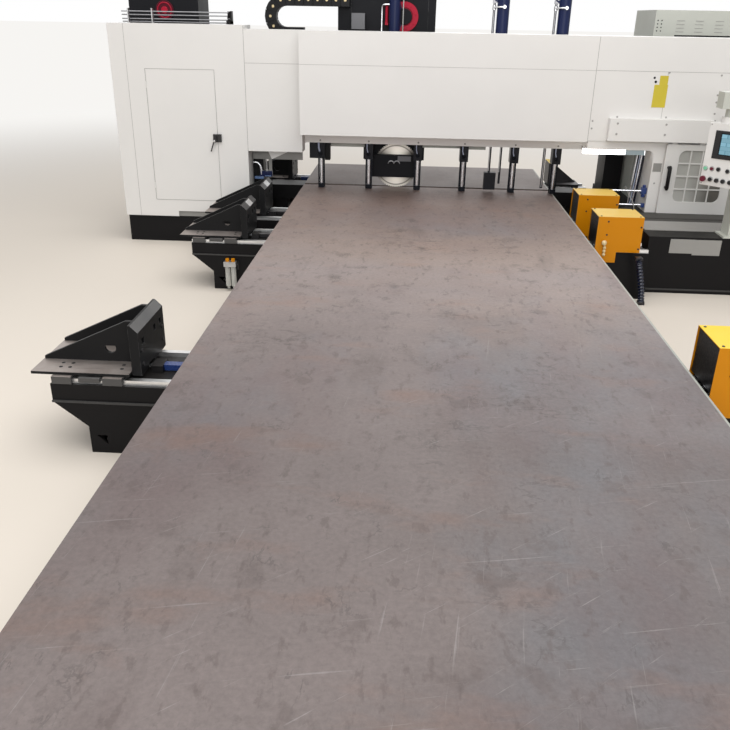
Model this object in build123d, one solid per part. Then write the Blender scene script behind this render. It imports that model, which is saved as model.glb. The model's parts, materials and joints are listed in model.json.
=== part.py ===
from build123d import *
import math
import os

os.makedirs("parts", exist_ok=True)

# Sizes in mm. X runs across the machine, Y away from the loading side, Z up.
# X 0 is the middle of the steel plate, Y 0 its cut edge, Z 0 the floor.

# steel plate
plate_width = 2000
plate_length = 6000
plate_thick = 20
plate_top = 434
half_plate = plate_width / 2

# clamping stations, from the loading side to the far side, reaching past the plate's edges
station_y = (-3430, -1255, -585, 805)
left_reach = 560
right_reach = 440
frame_left = -half_plate - left_reach
frame_right = half_plate + right_reach
frame_top = 313
frame_under = 123
frame_half = 185
narrow_front = 100
narrow_back = 120
foot_step = 180
foot_wide = 244
foot_in = half_plate + foot_step
foot_out = foot_in + foot_wide
web = 14
rail_high = 20
rail_wide = 28
cylinder_z = 330
cylinder_r = 16.5
piston_r = 9
run_gap = 0.08

# left clamps, drawn open by this much
left_open = 195
jaw_thick = 40
tail_over = 80
left_tail = frame_left - tail_over
left_jaw_face = -half_plate - left_open
left_jaw_back = left_jaw_face - jaw_thick
jaw_high = 217
jaw_front = -130
jaw_back = 200
left_travel = 190

# right clamps
right_open = 85
cover_long = 289
right_jaw_face = half_plate + right_open
right_tail = right_jaw_face + cover_long
cover_top = 550
right_travel = 80

# hold-down beam and its six rods
beam_left = -1385
beam_right = 1720
lip_y = -150
lip_under = 790
lip_top = 1000
lip_thick = 12
deep_right = -989
deep_low = 652
lip_round = 45
stay_left = -1262
stay_wide = 27
stay_low = 560
flange_back = -30
rod_y = -90
rod_x = (-847, -467, -80, 280, 671, 997)
rod_r = 14
rod_up = 150
block_under = 668
block_top = 940
guide_half = 27
guide_thick = 10
shoe_half = 23
shoe_high = 34
sensor_x = 906
valve_x = (486, 569)
drop_low = 500
gauge_low = 455
gauge_high = 587

# tall cylinders on the beam
lift_x = (497, 942)
lift_r = 45
lift_high = 1040

# bases
half_width = 2400
base_left_in = -1420
base_left_top = 209
base_gap = 34
base_right_in = frame_right + base_gap
base_right_top = 390
base_right_front = -1202
base_front = -280
base_back = station_y[-1] - frame_half
base_wall = 16

# covers
sheet = 4
cabinet_y = -300
cabinet_back = -20
cabinet_in = -1391
cabinet_top = 1625
door_left = -2144
door_right = -1622
door_low = 341
door_high = 1316
door_gap = 1.5
knuckle_r = 5
knuckle_high = 46
link_right = -968
link_low = 735
cover_y = -480
cover_left = -961
cover_right = 1140
cover_low = 889
cover_high = 1600
housing_low = 899
passage_top = 840
passage_side = 1630
passage_round = 45
track_y = -530
track_left = 1272
track_right = 2000
track_low = 908
track_high = 1063
slide_left = 1706
slide_right = 2236
slide_high = 893
slide_thick = 20
pane_left = 1805
pane_right = 2138
pane_low = 482
pane_high = 851
pane_bar = 9

# crossbeam
cross_y = 300
cross_deep = 260
cross_low = 1000
cross_high = 1400
cross_left = -2300
cross_right = 1620
cross_wall = 16

# saw
blade_x = -252
blade_y = 25
blade_z = 603
blade_r = 178
blade_thick = 4
blade_teeth = 60
tooth_deep = 9
shaft_r = 20
head_left = -738
head_right = 13
head_front = 150
head_high = 1990
ring_x = -226
ring_z = 1700
ring_r = 106
feed_x = -300
feed_r = 42

# milling head and electrical cabinet
mill_wide = 552
electrical_top = 1777

# cable chain: middle of the turn, inner and outer radius, length of a link
chain_x = -1130
chain_z = 1688
chain_in = 74
chain_out = 160
chain_pitch = 70
chain_gap = 5

# cut-off piece of the plate behind the blade
piece_front = 50
piece_back = 1000
table_leg = 1200

# control panel: lower left corner, width, height and depth
panel_x = 1750
panel_y = -1150
panel_z = 734
panel_wide = 480
panel_high = 388
panel_deep = 80
panel_turn = -45
pin_r = 20
arm_right = 226.6
arm_back = 61.8

plate_under = plate_top - plate_thick
rail_top = frame_top + rail_high
slab_low = rail_top + 15
slab_top = slab_low + 12
jaw_low = rail_top + 5
made = {}


def block(x0, x1, y0, y1, z0, z1):
    middle = Pos((x0 + x1) / 2, (y0 + y1) / 2, (z0 + z1) / 2)
    return middle * Box(x1 - x0, y1 - y0, z1 - z0)


def post(x, y, z0, z1, r):
    return Pos(x, y, (z0 + z1) / 2) * Cylinder(r, z1 - z0)


def bar_x(x0, x1, y, z, r):
    return Pos((x0 + x1) / 2, y, z) * Rot(0, 90, 0) * Cylinder(r, x1 - x0)


def bar_y(x, y0, y1, z, r):
    return Pos(x, (y0 + y1) / 2, z) * Rot(90, 0, 0) * Cylinder(r, y1 - y0)


def faceted(where, along, length, r, sides=12):
    return extrude(Plane(where, z_dir=along) * RegularPolygon(r, sides), amount=length)


def profile_x(x0, x1, y, z, half):
    one = block(x0, x1, y - half, y + half, z - half, z + half)
    return chamfer(one.edges().filter_by(Axis.X), half / 4)


def prism_y(outline, y0, y1):
    line = Polyline(*[(x, y0, z) for x, z in outline], close=True)
    return extrude(make_face(line), amount=y1 - y0, dir=(0, 1, 0))


def shell(x0, x1, y0, y1, z0, z1, wall, back=False, down=False, left=False):
    outer = block(x0, x1, y0, y1, z0, z1)
    inner_x = x0 - wall if left else x0 + wall
    inner_y = y1 + wall if back else y1 - wall
    inner_z = z0 - wall if down else z0 + wall
    inner = block(inner_x, x1 - wall, y0 + wall, inner_y, inner_z, z1 - wall)
    return outer - inner


def together(*shapes):
    return Part() + list(shapes)


def grooved(x0, x1, y, z0, z1, half):
    outer = block(x0, x1, y - half, y + half, z0, z1)
    side = rail_wide / 2 + run_gap
    groove = block(x0 - 1, x1 + 1, y - side, y + side, z0 - 1, rail_top + run_gap)
    return outer - groove


# steel plate and the piece already cut off, which lies on the table and the last station
plate = block(-half_plate, half_plate, -plate_length, 0, plate_under, plate_top)
piece = block(-half_plate, half_plate, piece_front, piece_back, plate_under, plate_top)
made["steel_plate"] = together(plate, piece)

def hex_rod(x0, x1, y, gap=0):
    return faceted((x0, y, cylinder_z), (1, 0, 0), x1 - x0, piston_r + gap, 6)


# stations: two webs, a top sheet, cross ribs and feet, open below
neck = half_plate
left_rails = (-156, 144)
right_rails = (-75, 95)
grip_y = (-45, 35)
axis_y = (grip_y[0] + grip_y[1]) / 2
bracket_high = slab_low - 2
left_bracket = (left_jaw_face + 9, left_jaw_face + 59)
left_barrel = half_plate - 200
right_bracket = (neck + 30, neck + 60)
right_barrel = neck - 140


def station_frame(yc):
    taper = frame_top - 80
    low_left = [(frame_left, frame_top), (frame_left, taper), (-foot_out, frame_under)]
    foot_left = [(-foot_out, 0), (-foot_in, 0), (-foot_in + 60, frame_under)]
    main = low_left + foot_left + [(neck, frame_under), (neck, frame_top)]
    body = prism_y(main, yc - frame_half, yc + frame_half)
    narrow = [(neck, frame_top), (neck, frame_under), (foot_in - 60, frame_under), (foot_in, 0)]
    narrow += [(foot_out, 0), (foot_out, frame_under), (frame_right, taper), (frame_right, frame_top)]
    body += prism_y(narrow, yc - narrow_front, yc + narrow_back)
    edges = [frame_left, -foot_out, -half_plate * 0.7, 0, half_plate * 0.7, neck]
    for x0, x1 in zip(edges[:-1], edges[1:]):
        y0, y1 = yc - frame_half + web, yc + frame_half - web
        body -= block(x0 + web, x1 - web, y0, y1, -1, frame_top - web)
    y0, y1 = yc - narrow_front + web, yc + narrow_back - web
    body -= block(neck, frame_right - web, y0, y1, -1, frame_top - web)
    window = [(-foot_out + 28, 84), (-foot_out + 74, 84), (-foot_out + 74, 40)]
    body -= prism_y(window, yc - frame_half - 1, yc + frame_half + 1)
    body += block(frame_left, -foot_out, yc - frame_half - 8, yc + frame_half + 8, taper, taper + 8)
    for x in (-half_plate * 0.6, 0, half_plate * 0.6):
        body += block(x - 70, x + 70, yc - 130, yc + 130, frame_top, plate_under)
    return body


rails = []
barrels = []
for number, yc in enumerate(station_y, 1):
    made[f"station_frame_{number}"] = station_frame(yc)
    half = rail_wide / 2
    for y in left_rails:
        rails.append(block(frame_left, -neck, yc + y - half, yc + y + half, frame_top, rail_top))
    for y in right_rails:
        rails.append(block(neck, frame_right, yc + y - half, yc + y + half, frame_top, rail_top))
    y0, y1, ya = yc + grip_y[0], yc + grip_y[1], yc + axis_y
    left = block(left_bracket[0], left_bracket[1], y0, y1, frame_top, bracket_high)
    left += profile_x(left_bracket[1], -left_barrel, ya, cylinder_z, cylinder_r)
    left += block(-left_barrel - 30, -left_barrel, y0, y1, frame_top, bracket_high)
    left -= hex_rod(left_bracket[0] - 1, -left_barrel - 14, ya, run_gap)
    right = block(right_bracket[0], right_bracket[1], y0, y1, frame_top, bracket_high)
    right += profile_x(right_barrel, right_bracket[0], ya, cylinder_z, cylinder_r)
    right += block(right_barrel, right_barrel + 30, y0, y1, frame_top, bracket_high)
    right -= hex_rod(right_barrel + 14, right_bracket[1] + 1, ya, run_gap)
    barrels += [left, right]
made["guide_rails"] = together(*rails)
made["clamp_cylinders"] = together(*barrels)


def left_carriage(yc):
    body = block(left_tail, left_jaw_back, yc - 170, yc + 180, slab_low, slab_top)
    for x in (left_tail + 90, left_jaw_back - 105):
        for y in left_rails:
            body += grooved(x, x + 80, yc + y, frame_top + 3, slab_low, 34)
    lug = left_jaw_face - left_travel - 15
    ya = yc + axis_y
    body += block(lug, lug + 20, ya - 20, ya + 20, cylinder_z - 13, slab_low)
    body += hex_rod(lug, -half_plate - 50, ya)
    slope = [(left_tail + 4, slab_top), (left_jaw_back, slab_top), (left_jaw_back, slab_top + 180)]
    slope += [(left_jaw_back - 40, slab_top + 180), (left_tail + 4, slab_top + 12)]
    front = prism_y(slope, yc - 42, yc - 27)
    hole = faceted((left_jaw_back - 115, yc - 50, slab_top + 60), (0, 1, 0), 30, 24)
    hole -= block(left_jaw_back - 150, left_jaw_back - 80, yc - 60, yc - 10, slab_top + 70, slab_top + 90)
    body += front - hole
    body += prism_y(slope, yc + 157, yc + 172)
    return body


def left_jaw(yc):
    high = jaw_low + jaw_high
    side = [(left_jaw_back, jaw_low), (left_jaw_face, jaw_low), (left_jaw_face, high - 30)]
    side += [(left_jaw_face - 30, high), (left_jaw_back, high)]
    body = prism_y(side, yc + jaw_front, yc + jaw_back)
    y0, y1 = yc + grip_y[0] - 5, yc + grip_y[1] + 5
    body -= block(left_jaw_back - 1, left_jaw_face + 1, y0, y1, jaw_low - 1, bracket_high + 4)
    for y in (-95, 60, 135):
        z = high - 95
        body -= block(left_jaw_face - 10, left_jaw_face + 1, yc + y, yc + y + 30, z, z + 28)
    return body


def right_carriage(yc):
    x0, x1 = right_jaw_face + 5, right_tail - 3
    body = block(x0, x1, yc - 112, yc + 132, slab_low, slab_top)
    body += block(x0, x0 + 35, yc - 105, yc + 125, slab_top, cover_top - 10)
    stay = [(x0 + 35, slab_top), (x1 - 10, slab_top), (x0 + 60, cover_top - 30)]
    stay += [(x0 + 35, cover_top - 30)]
    body += prism_y(stay, yc + 20, yc + 34)
    for x in (x0 + 20, x1 - 65):
        for y in right_rails:
            body += grooved(x, x + 60, yc + y, frame_top + 3, slab_low, 23)
    ya = yc + axis_y
    body += block(x0 + 80, x0 + 100, ya - 20, ya + 20, cylinder_z - 13, slab_low)
    body += hex_rod(right_barrel + 100, x0 + 100, ya)
    return body


def yellow_cover(yc):
    y0, y1 = yc - 115, yc + 135
    body = shell(right_jaw_face, right_tail, y0, y1, frame_top + 7, cover_top, 3, down=True, left=True)
    body += block(right_jaw_face, right_jaw_face + 140, y0, y0 + 3, frame_top - 63, frame_top + 7)
    body -= block(right_tail - 4, right_tail + 1, y0 + 3, y1 - 3, frame_top, rail_top + 4)
    return body


for number, yc in enumerate(station_y, 1):
    carriage = left_carriage(yc)
    if number < 4:
        made[f"left_jaw_{number}"] = left_jaw(yc)
        made[f"yellow_cover_{number}"] = yellow_cover(yc)
    else:
        carriage += left_jaw(yc)
    made[f"left_carriage_{number}"] = carriage
    made[f"right_carriage_{number}"] = right_carriage(yc)

# hold-down beam: lip plate, top flange, brackets for the cover, two posts
lip_back = lip_y + lip_thick
body = block(beam_left, beam_right, lip_y, lip_back, lip_under, lip_top)
body += block(beam_left, deep_right, lip_y, lip_back, deep_low, lip_under)
body += block(stay_left, stay_left + stay_wide, lip_y, lip_back, stay_low, deep_low)
round_x = deep_right + lip_round
round_z = lip_under - lip_round
body += block(deep_right, round_x, lip_y, lip_back, round_z, lip_under)
body -= bar_y(round_x, lip_y - 1, lip_back + 1, round_z, lip_round)
body += block(beam_left, beam_right, lip_back, flange_back, lip_top - lip_thick, lip_top)
body += block(beam_left, beam_left + 80, lip_back, flange_back, 0, lip_top - lip_thick)
body += block(beam_right - 80, beam_right, lip_back, flange_back, base_right_top, lip_top - lip_thick)
for x in (-900, -300, 300, 900):
    body += block(x - 5, x + 5, cover_y + 3, lip_y, lip_top - 100, lip_top)
made["hold_down_beam"] = body

blocks = []
for number, x in enumerate(rod_x, 1):
    left = 87 if number == 1 else 33
    one = block(x - left, x + 33, lip_back, flange_back - 12, block_under, block_top)
    one -= post(x, rod_y, block_under - 1, block_top + 1, rod_r + 0.05)
    guide_y0 = rod_y + rod_r - 4
    guide_y1 = guide_y0 + guide_thick
    side = guide_half + run_gap
    one -= block(x - side, x + side, guide_y0 - run_gap, guide_y1 + run_gap, block_under - 1, block_top + 1)
    blocks.append(one)
    shoe_low = plate_top + 0.3
    rod_top = block_top - rod_up - 10
    rod = block(x - shoe_half, x + shoe_half, rod_y - shoe_half, guide_y1, shoe_low, shoe_low + shoe_high)
    rod += post(x, rod_y, shoe_low + shoe_high, rod_top, rod_r)
    rod += block(x - guide_half, x + guide_half, guide_y0, guide_y1, shoe_low, rod_top)
    made[f"hold_down_rod_{number}"] = rod
guide = block(sensor_x - 26, sensor_x + 26, lip_back, flange_back - 12, lip_under, block_top)
guide += block(sensor_x - 9, sensor_x + 9, rod_y - 9, rod_y + 9, drop_low - 26, lip_under)
blocks.append(guide)
guide = block(valve_x[0] - 31, valve_x[1] + 31, lip_back, flange_back - 12, lip_under, block_top)
for x in valve_x:
    guide += block(x - 8, x + 8, rod_y - 8, rod_y + 8, drop_low, lip_under)
guide += block(valve_x[0] - 37, valve_x[0] + 53, rod_y - 30, rod_y + 30, gauge_low, gauge_high)
blocks.append(guide)
made["hold_down_cylinders"] = together(*blocks)

# two tall cylinders on the flange, each with a pipe
tall = []
lift_top = lip_top + lift_high
pipe_top = lift_top - 220
for x in lift_x:
    one = post(x, rod_y, lip_top, lift_top, lift_r)
    cap_half = lift_r + 1
    for z in (lip_top, lift_top - 50):
        cap = block(x - cap_half, x + cap_half, rod_y - cap_half, rod_y + cap_half, z, z + 50)
        one += chamfer(cap.edges().filter_by(Axis.Z), 12)
    pipe_x = x - lift_r - 21
    one += block(pipe_x - 14, x - 40, rod_y - 13, rod_y + 13, lip_top + 26, lip_top + 48)
    one += post(pipe_x, rod_y, lip_top + 40, pipe_top, 9)
    one += block(pipe_x - 12, x - 40, rod_y - 13, rod_y + 13, pipe_top - 18, pipe_top + 6)
    tall.append(one)
made["lift_cylinders"] = together(*tall)

# bases
deck = base_right_top
made["bed_left"] = shell(-half_width + 10, base_left_in, base_front, base_back, 0, base_left_top,
                         base_wall, down=True)
body = shell(base_right_in, half_width, base_right_front, base_back, 0, deck, base_wall, down=True)
made["bed_right"] = body

# left cabinet with a door opening, a rim behind it and a set-back band low on the right
body = shell(-half_width, cabinet_in, cabinet_y, cabinet_back, base_left_top, cabinet_top, sheet)
rim = block(door_left - 12, door_right + 12, cabinet_y + sheet, cabinet_y + 2 * sheet,
            door_low - 12, door_high + 12)
rim -= block(door_left + 12, door_right - 12, cabinet_y, cabinet_back, door_low + 12, door_high - 12)
body -= block(door_left, door_right, cabinet_y - 1, cabinet_y + sheet, door_low, door_high)
body += rim
band_left = cabinet_in - 581
body -= block(band_left, cabinet_in + 1, cabinet_y - 1, cabinet_y + 12, base_left_top - 1, 251)
body += block(band_left - sheet, cabinet_in, cabinet_y + 12, cabinet_y + 16, base_left_top, 255)
body += block(band_left - sheet, cabinet_in, cabinet_y + sheet, cabinet_y + 16, 251, 255)
lock_z = 826
body += block(door_right + 2, door_right + 31, cabinet_y - 18, cabinet_y, lock_z - 29, lock_z + 29)
knuckles = [(z, z + knuckle_high) for z in (door_low + 90, door_high - 90 - knuckle_high)]
for z0, z1 in knuckles:
    body -= post(door_left, cabinet_y, z0 - 0.3, z1 + 0.3, knuckle_r + 0.1)
made["left_cabinet"] = body

leaf = block(door_left + door_gap, door_right - door_gap, cabinet_y, cabinet_y + sheet,
             door_low + door_gap, door_high - door_gap)
lock_x = door_right - 17
leaf += block(lock_x - 15, lock_x + 15, cabinet_y - 18, cabinet_y, lock_z - 29, lock_z + 29)
leaf -= bar_y(lock_x, cabinet_y - 19, cabinet_y - 4, lock_z, 6 + run_gap)
for z0, z1 in knuckles:
    leaf += post(door_left, cabinet_y, z0, z1, knuckle_r)
made["cabinet_door"] = leaf
turn = bar_y(lock_x, cabinet_y - 26, cabinet_y - 5, lock_z, 6)
turn += bar_y(lock_x, cabinet_y - 30, cabinet_y - 20, lock_z, 11)
lever = [(lock_x - 5, lock_z), (lock_x + 5, lock_z), (lock_x - 31, lock_z - 100)]
lever += [(lock_x - 39, lock_z - 97)]
made["door_lock"] = turn + prism_y(lever, cabinet_y - 28, cabinet_y - 23)

# covers over the beam
made["link_cover"] = shell(cabinet_in + 1, link_right, cabinet_y, lip_y, link_low, cover_high, sheet, back=True)
made["beam_cover"] = shell(cover_left, cover_right, cover_y, lip_y, cover_low, cover_high, 3, back=True)
made["right_cover"] = shell(cover_right + 1, half_width, cover_y, lip_y, housing_low, cover_high, sheet,
                            down=True)

# frame of the right housing: rounded passage on the left, door opening on the right
inner_left = cover_right + 1 + sheet
inner_right = half_width - sheet
plate_y = cover_y + sheet
body = block(inner_left, inner_right, plate_y, plate_y + 6, deck, housing_low + 6)
passage = block(inner_left - 50, passage_side, plate_y - 1, plate_y + 7, deck - 20, passage_top)
corner = sorted(passage.edges().filter_by(Axis.Y), key=lambda e: e.center().X + e.center().Z)[-1]
body -= fillet(corner, passage_round)
body -= block(pane_left - 45, pane_right + 45, plate_y - 1, plate_y + 7, pane_low - 50, slide_high - 40)
body += block(inner_left, passage_side - passage_round, plate_y, plate_y + 56, passage_top, passage_top + sheet)
body += block(passage_side, passage_side + 6, plate_y, lip_y - 4, deck, housing_low - 4)
body += block(inner_right - 6, inner_right, plate_y, lip_y - 4, deck, housing_low - 4)
body += block(passage_side, inner_right, lip_y - 10, lip_y - 4, deck, housing_low + 6)
made["right_frame"] = body
made["light_strip"] = block(cover_right - 18, cover_right + 427, plate_y + 6, plate_y + 36,
                            passage_top - 34, passage_top)

# sliding door on a rail under the track cover
rail_z = track_low + 80
slide_y = track_y + 20
body = shell(track_left, track_right, track_y, cover_y, track_low, track_high, 3, back=True, down=True)
body += block(track_left, track_right, slide_y + 8, slide_y + 16, rail_z, rail_z + 12)
made["track_cover"] = body

panel = block(slide_left, slide_right, slide_y, slide_y + slide_thick, deck + 2, slide_high)
corners = panel.edges().filter_by(Axis.Y)
panel = fillet(corners, 12)
panel -= block(pane_left, pane_right, slide_y - 1, slide_y + slide_thick + 1, pane_low, pane_high)
panel += block(pane_left, pane_right, slide_y + 9, slide_y + 13, pane_low, pane_high)
for i in (1, 2, 3):
    x = pane_left + (pane_right - pane_left) * i / 4
    z = pane_low + (pane_high - pane_low) * i / 4
    half = pane_bar / 2
    panel += block(x - half, x + half, slide_y + 3, slide_y + 17, pane_low, pane_high)
    panel += block(pane_left, pane_right, slide_y + 3, slide_y + 17, z - half, z + half)
for x in (slide_left + 54, slide_left + 250):
    hook = block(x - 20, x + 20, slide_y + 2, slide_y + 20, slide_high, rail_z + 24)
    hook -= block(x - 21, x + 21, slide_y + 7.6, slide_y + 16.4, rail_z - 0.4, rail_z + 12.4)
    panel += hook
made["sliding_door"] = panel
grip_x = slide_left + 35
grip = post(grip_x, slide_y - 38, 571, 746, 9)
for z in (588, 729):
    grip += bar_y(grip_x, slide_y - 38, slide_y, z, 6)
made["pull_handle"] = grip

# pedestal with an arm over the control panel
turn_rad = math.radians(panel_turn)
pin_u, pin_v = 85, panel_deep / 2
pin_x = panel_x + pin_u * math.cos(turn_rad) - pin_v * math.sin(turn_rad)
pin_y = panel_y + pin_u * math.sin(turn_rad) + pin_v * math.cos(turn_rad)
ped_x = pin_x + arm_right
ped_y = pin_y + arm_back
panel_top = panel_z + panel_high
arm_z = panel_top + 88
body = block(ped_x - 110, ped_x + 110, ped_y - 80, ped_y + 80, deck, deck + 12)
body += block(ped_x - 80, ped_x + 80, ped_y - 65, ped_y + 65, deck + 12, panel_top - 62)
body += post(ped_x, ped_y, panel_top - 62, arm_z + 15, 38)
body += post(ped_x, ped_y, arm_z + 5, arm_z + 90, 52)
reach = math.hypot(ped_x - pin_x, ped_y - pin_y)
swing = math.degrees(math.atan2(ped_y - pin_y, ped_x - pin_x))
body += Pos((ped_x + pin_x) / 2, (ped_y + pin_y) / 2, arm_z + 48) * Rot(0, 0, swing) * Box(reach, 70, 64)
body += block(pin_x - 66, pin_x + 46, pin_y - 56, pin_y + 52, arm_z, arm_z + 98)
body += post(pin_x, pin_y, panel_top + 2, arm_z, pin_r)
made["control_pedestal"] = body

on_panel = Pos(panel_x, panel_y, panel_z) * Rot(0, 0, panel_turn)
body = block(0, panel_wide, 0, panel_deep, 0, panel_high)
body += block(49, panel_wide - 49, -6, 0, 173, 345)
body -= block(85, panel_wide - 85, -7, -2, 196, 331)
body += post(pin_u, pin_v, panel_high, panel_high + 38, 34)
body -= post(pin_u, pin_v, panel_high + 1.9, panel_high + 39, pin_r + run_gap)
body += bar_y(26, -3, 0, 42, 22)
for u, v in ((108, 109), (168, 105)):
    body += faceted((u, -9, v), (0, 1, 0), 9, 11, 16)
for u, v in ((110, 40), (152, 40), (197, 40)):
    body += faceted((u, -16, v), (0, 1, 0), 16, 12, 16)
spots = {"emergency_button": (26, 42, 9), "start_button": (23, 106, 10), "stop_button": (65, 108, 10)}
spots["selector_knob"] = (68, 42, 9)
for name, (u, v, r) in spots.items():
    body -= bar_y(u, -4, 14, v, r + run_gap)
made["control_panel"] = on_panel * body
made["panel_screen"] = on_panel * block(85.2, panel_wide - 85.2, -5, -2, 196.2, 330.8)
press = bar_y(26, -26, 8, 42, 9) + bar_y(26, -28, -14, 42, 18)
made["emergency_button"] = on_panel * press
for name in ("start_button", "stop_button"):
    u, v, r = spots[name]
    made[name] = on_panel * (bar_y(u, -9, 9, v, r))
u, v, r = spots["selector_knob"]
knob = bar_y(u, -6, 12, v, r) + faceted((u, -17, v), (0, 1, 0), 12, 12, 16)
knob += block(u - 3, u + 3, -22, -16, v - 11, v + 11)
made["selector_knob"] = on_panel * knob

# crossbeam: box section with two rails, on a post at each end
cross_back = cross_y + cross_deep
body = block(cross_left, cross_right, cross_y, cross_back, cross_low, cross_high)
low_post = block(cross_left, cross_left + 350, cross_y, cross_back, base_left_top, cross_low)
low_post -= block(cross_left + cross_wall, cross_left + 350 - cross_wall, cross_y + cross_wall,
                  cross_back - cross_wall, base_left_top - 1, cross_low)
body += low_post
body += block(base_right_in, cross_right, cross_y, cross_back, deck, cross_low)
body -= block(cross_left - 1, cross_right + 1, cross_y + cross_wall, cross_back - cross_wall,
              cross_low + cross_wall, cross_high - cross_wall)
cross_rails = (cross_low + 50, cross_high - 80)
for z in cross_rails:
    body += block(cross_left, cross_right, cross_y - 20, cross_y, z, z + 30)
made["gantry_beam"] = body


def runner(x0, x1):
    found = []
    for z in cross_rails:
        one = block(x0, x1, cross_y - 44, cross_y - 4, z - 15, z + 45)
        one -= block(x0 - 1, x1 + 1, cross_y - 20.1, cross_y, z - 0.1, z + 30.1)
        found.append(one)
    return found


# saw slide on the crossbeam, saw head going up and down on it
slide_x0, slide_x1 = blade_x - 308, blade_x + 252
head_x0, head_x1 = blade_x - 268, blade_x + 222
lift_rails = (head_x0 + 50, head_x1 - 80)
plate_back = cross_y - 44
body = block(slide_x0, slide_x1, plate_back - 20, plate_back, cross_low + 10, cross_high - 10)
for x in (slide_x0 + 20, slide_x1 - 100):
    for one in runner(x, x + 80):
        body += one
for x in lift_rails:
    for z in (cross_low + 40, cross_high - 120):
        one = block(x - 15, x + 45, plate_back - 60, plate_back - 20, z, z + 80)
        one -= block(x - 0.1, x + 30.1, plate_back - 61, plate_back - 45.9, z - 1, z + 81)
        body += one
made["saw_slide"] = body

column_front = 60
column_back = plate_back - 66
over_beam = cross_high + 50
body = block(head_x0, head_x1, column_front, column_back, blade_z + 37, over_beam)
for x in lift_rails:
    body += block(x, x + 30, column_back, column_back + 20, cross_low - 240, over_beam)
body += block(head_left, head_right, head_front, cross_back - 20, over_beam, head_high)
body -= block(head_left + 12, head_right - 12, head_front + 12, cross_back - 32, over_beam - 1, head_high - 12)
body += block(head_x0, head_x1, column_front, head_front, over_beam - 1, over_beam + 60)
body += bar_y(ring_x, head_front - 14, head_front, ring_z, ring_r)
body -= bar_y(ring_x, head_front - 15, head_front - 4, ring_z, ring_r * 0.62)
body += block(head_left + 108, head_left + 210, head_front - 50, head_front, 1607, 1720)
body += post(feed_x, head_front - feed_r - 2, over_beam + 60, head_high, feed_r)
feed_half = feed_r + 4
body += block(feed_x - feed_half, feed_x + feed_half, head_front - 2 * feed_r - 6, head_front, over_beam + 40,
              over_beam + 110)
made["saw_head"] = body

# gearbox in front of the blade, held by a neck beside it
gear_front = flange_back + 4
gear_back = 8
gear_left = blade_x - blade_r - 40
neck_right = blade_x - blade_r - 4
body = block(gear_left, blade_x + 172, gear_front, gear_back, blade_z - 88, blade_z + 87)
low_edges = body.edges().filter_by(Axis.Y).group_by(Axis.Z)[0]
body = fillet(low_edges, 30)
body += block(gear_left, neck_right, gear_front, gear_back, blade_z + 80, blade_z + 280)
body += block(gear_left, neck_right, gear_back, column_front, blade_z + 60, blade_z + 280)
body += bar_y(blade_x, gear_back, blade_y + 16, blade_z, shaft_r)
made["saw_gearbox"] = body

# blade: the tooth tip lies at the start of each pitch, the gullet a fifth of a pitch on
half = blade_thick / 2
outline = []
for i in range(blade_teeth):
    for share, r in ((0, blade_r), (0.2, blade_r - tooth_deep)):
        angle = 2 * math.pi * (i + share) / blade_teeth
        outline.append((blade_x + r * math.cos(angle), blade_z + r * math.sin(angle)))
body = prism_y(outline, blade_y - half, blade_y + half)
body += bar_y(blade_x, blade_y - 11, blade_y + 11, blade_z, 45)
body -= bar_y(blade_x, blade_y - 20, blade_y + 30, blade_z, shaft_r + run_gap)
made["saw_blade"] = body

# cable chain: links on the top run, round the turn and back below, fixed to the saw head
chain_y0, chain_y1 = head_front - 95, head_front - 5
turn_links = 5
top_links = 7
low_links = 2


def ring_part(r0, r1, a0, a1, y0, y1):
    angles = (a0, (a0 + a1) / 2, a1)
    outer = [(chain_x + r1 * math.cos(a), chain_z + r1 * math.sin(a)) for a in angles]
    inner = [(chain_x + r0 * math.cos(a), chain_z + r0 * math.sin(a)) for a in reversed(angles)]
    return prism_y(outer + inner, y0, y1)


def straight_part(x0, x1, sign, rim, y0, y1):
    z0, z1 = sorted((chain_z + sign * (chain_in + rim), chain_z + sign * (chain_out - rim)))
    return block(x0, x1, y0, y1, z0, z1)


rim = 7
core = []
links = []
for i in range(turn_links):
    step = math.pi / turn_links
    a0 = math.pi / 2 + i * step
    a1 = a0 + step
    gap = chain_gap / chain_out / 2
    core.append(ring_part(chain_in + rim, chain_out - rim, a0, a1, chain_y0 + rim, chain_y1 - rim))
    links.append(ring_part(chain_in, chain_out, a0 + gap, a1 - gap, chain_y0, chain_y1))
for sign, count in ((1, top_links), (-1, low_links)):
    end = chain_x + count * chain_pitch
    core.append(straight_part(chain_x, end - chain_gap, sign, rim, chain_y0 + rim, chain_y1 - rim))
    for i in range(count):
        x0 = chain_x + i * chain_pitch + chain_gap / 2
        links.append(straight_part(x0, x0 + chain_pitch - chain_gap, sign, 0, chain_y0, chain_y1))
chain_end = chain_x + top_links * chain_pitch - chain_gap
body = together(*core) + together(*links)
body += block(head_left, chain_end, chain_y1, head_front, chain_z + chain_in + 8, chain_z + chain_out - 8)
made["cable_chain"] = body

# milling head on the same crossbeam
mill_x0 = -half_width + 8
mill_x1 = mill_x0 + mill_wide
body = block(mill_x0 + 60, mill_x1 - 40, plate_back - 20, plate_back, cross_low + 10, over_beam)
for x in (mill_x0 + 110, mill_x1 - 130):
    for one in runner(x, x + 80):
        body += one
hood = block(mill_x0, mill_x1, plate_back - 46, cross_back - 20, over_beam, head_high - 40)
hood -= block(mill_x0 + 12, mill_x1 - 12, plate_back - 34, cross_back - 32, over_beam - 1, head_high - 52)
body += hood
body += block(mill_x0 + 180, mill_x1 - 160, 165, plate_back - 20, 700, over_beam)
mill_x = (mill_x0 + mill_x1) / 2 + 10
body += post(mill_x, 200, 560, 700, 34)
body += post(mill_x, 200, 545, 560, 50)
body += bar_y(mill_x, plate_back - 60, plate_back - 46, 1718, 70)
made["milling_head"] = body

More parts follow.
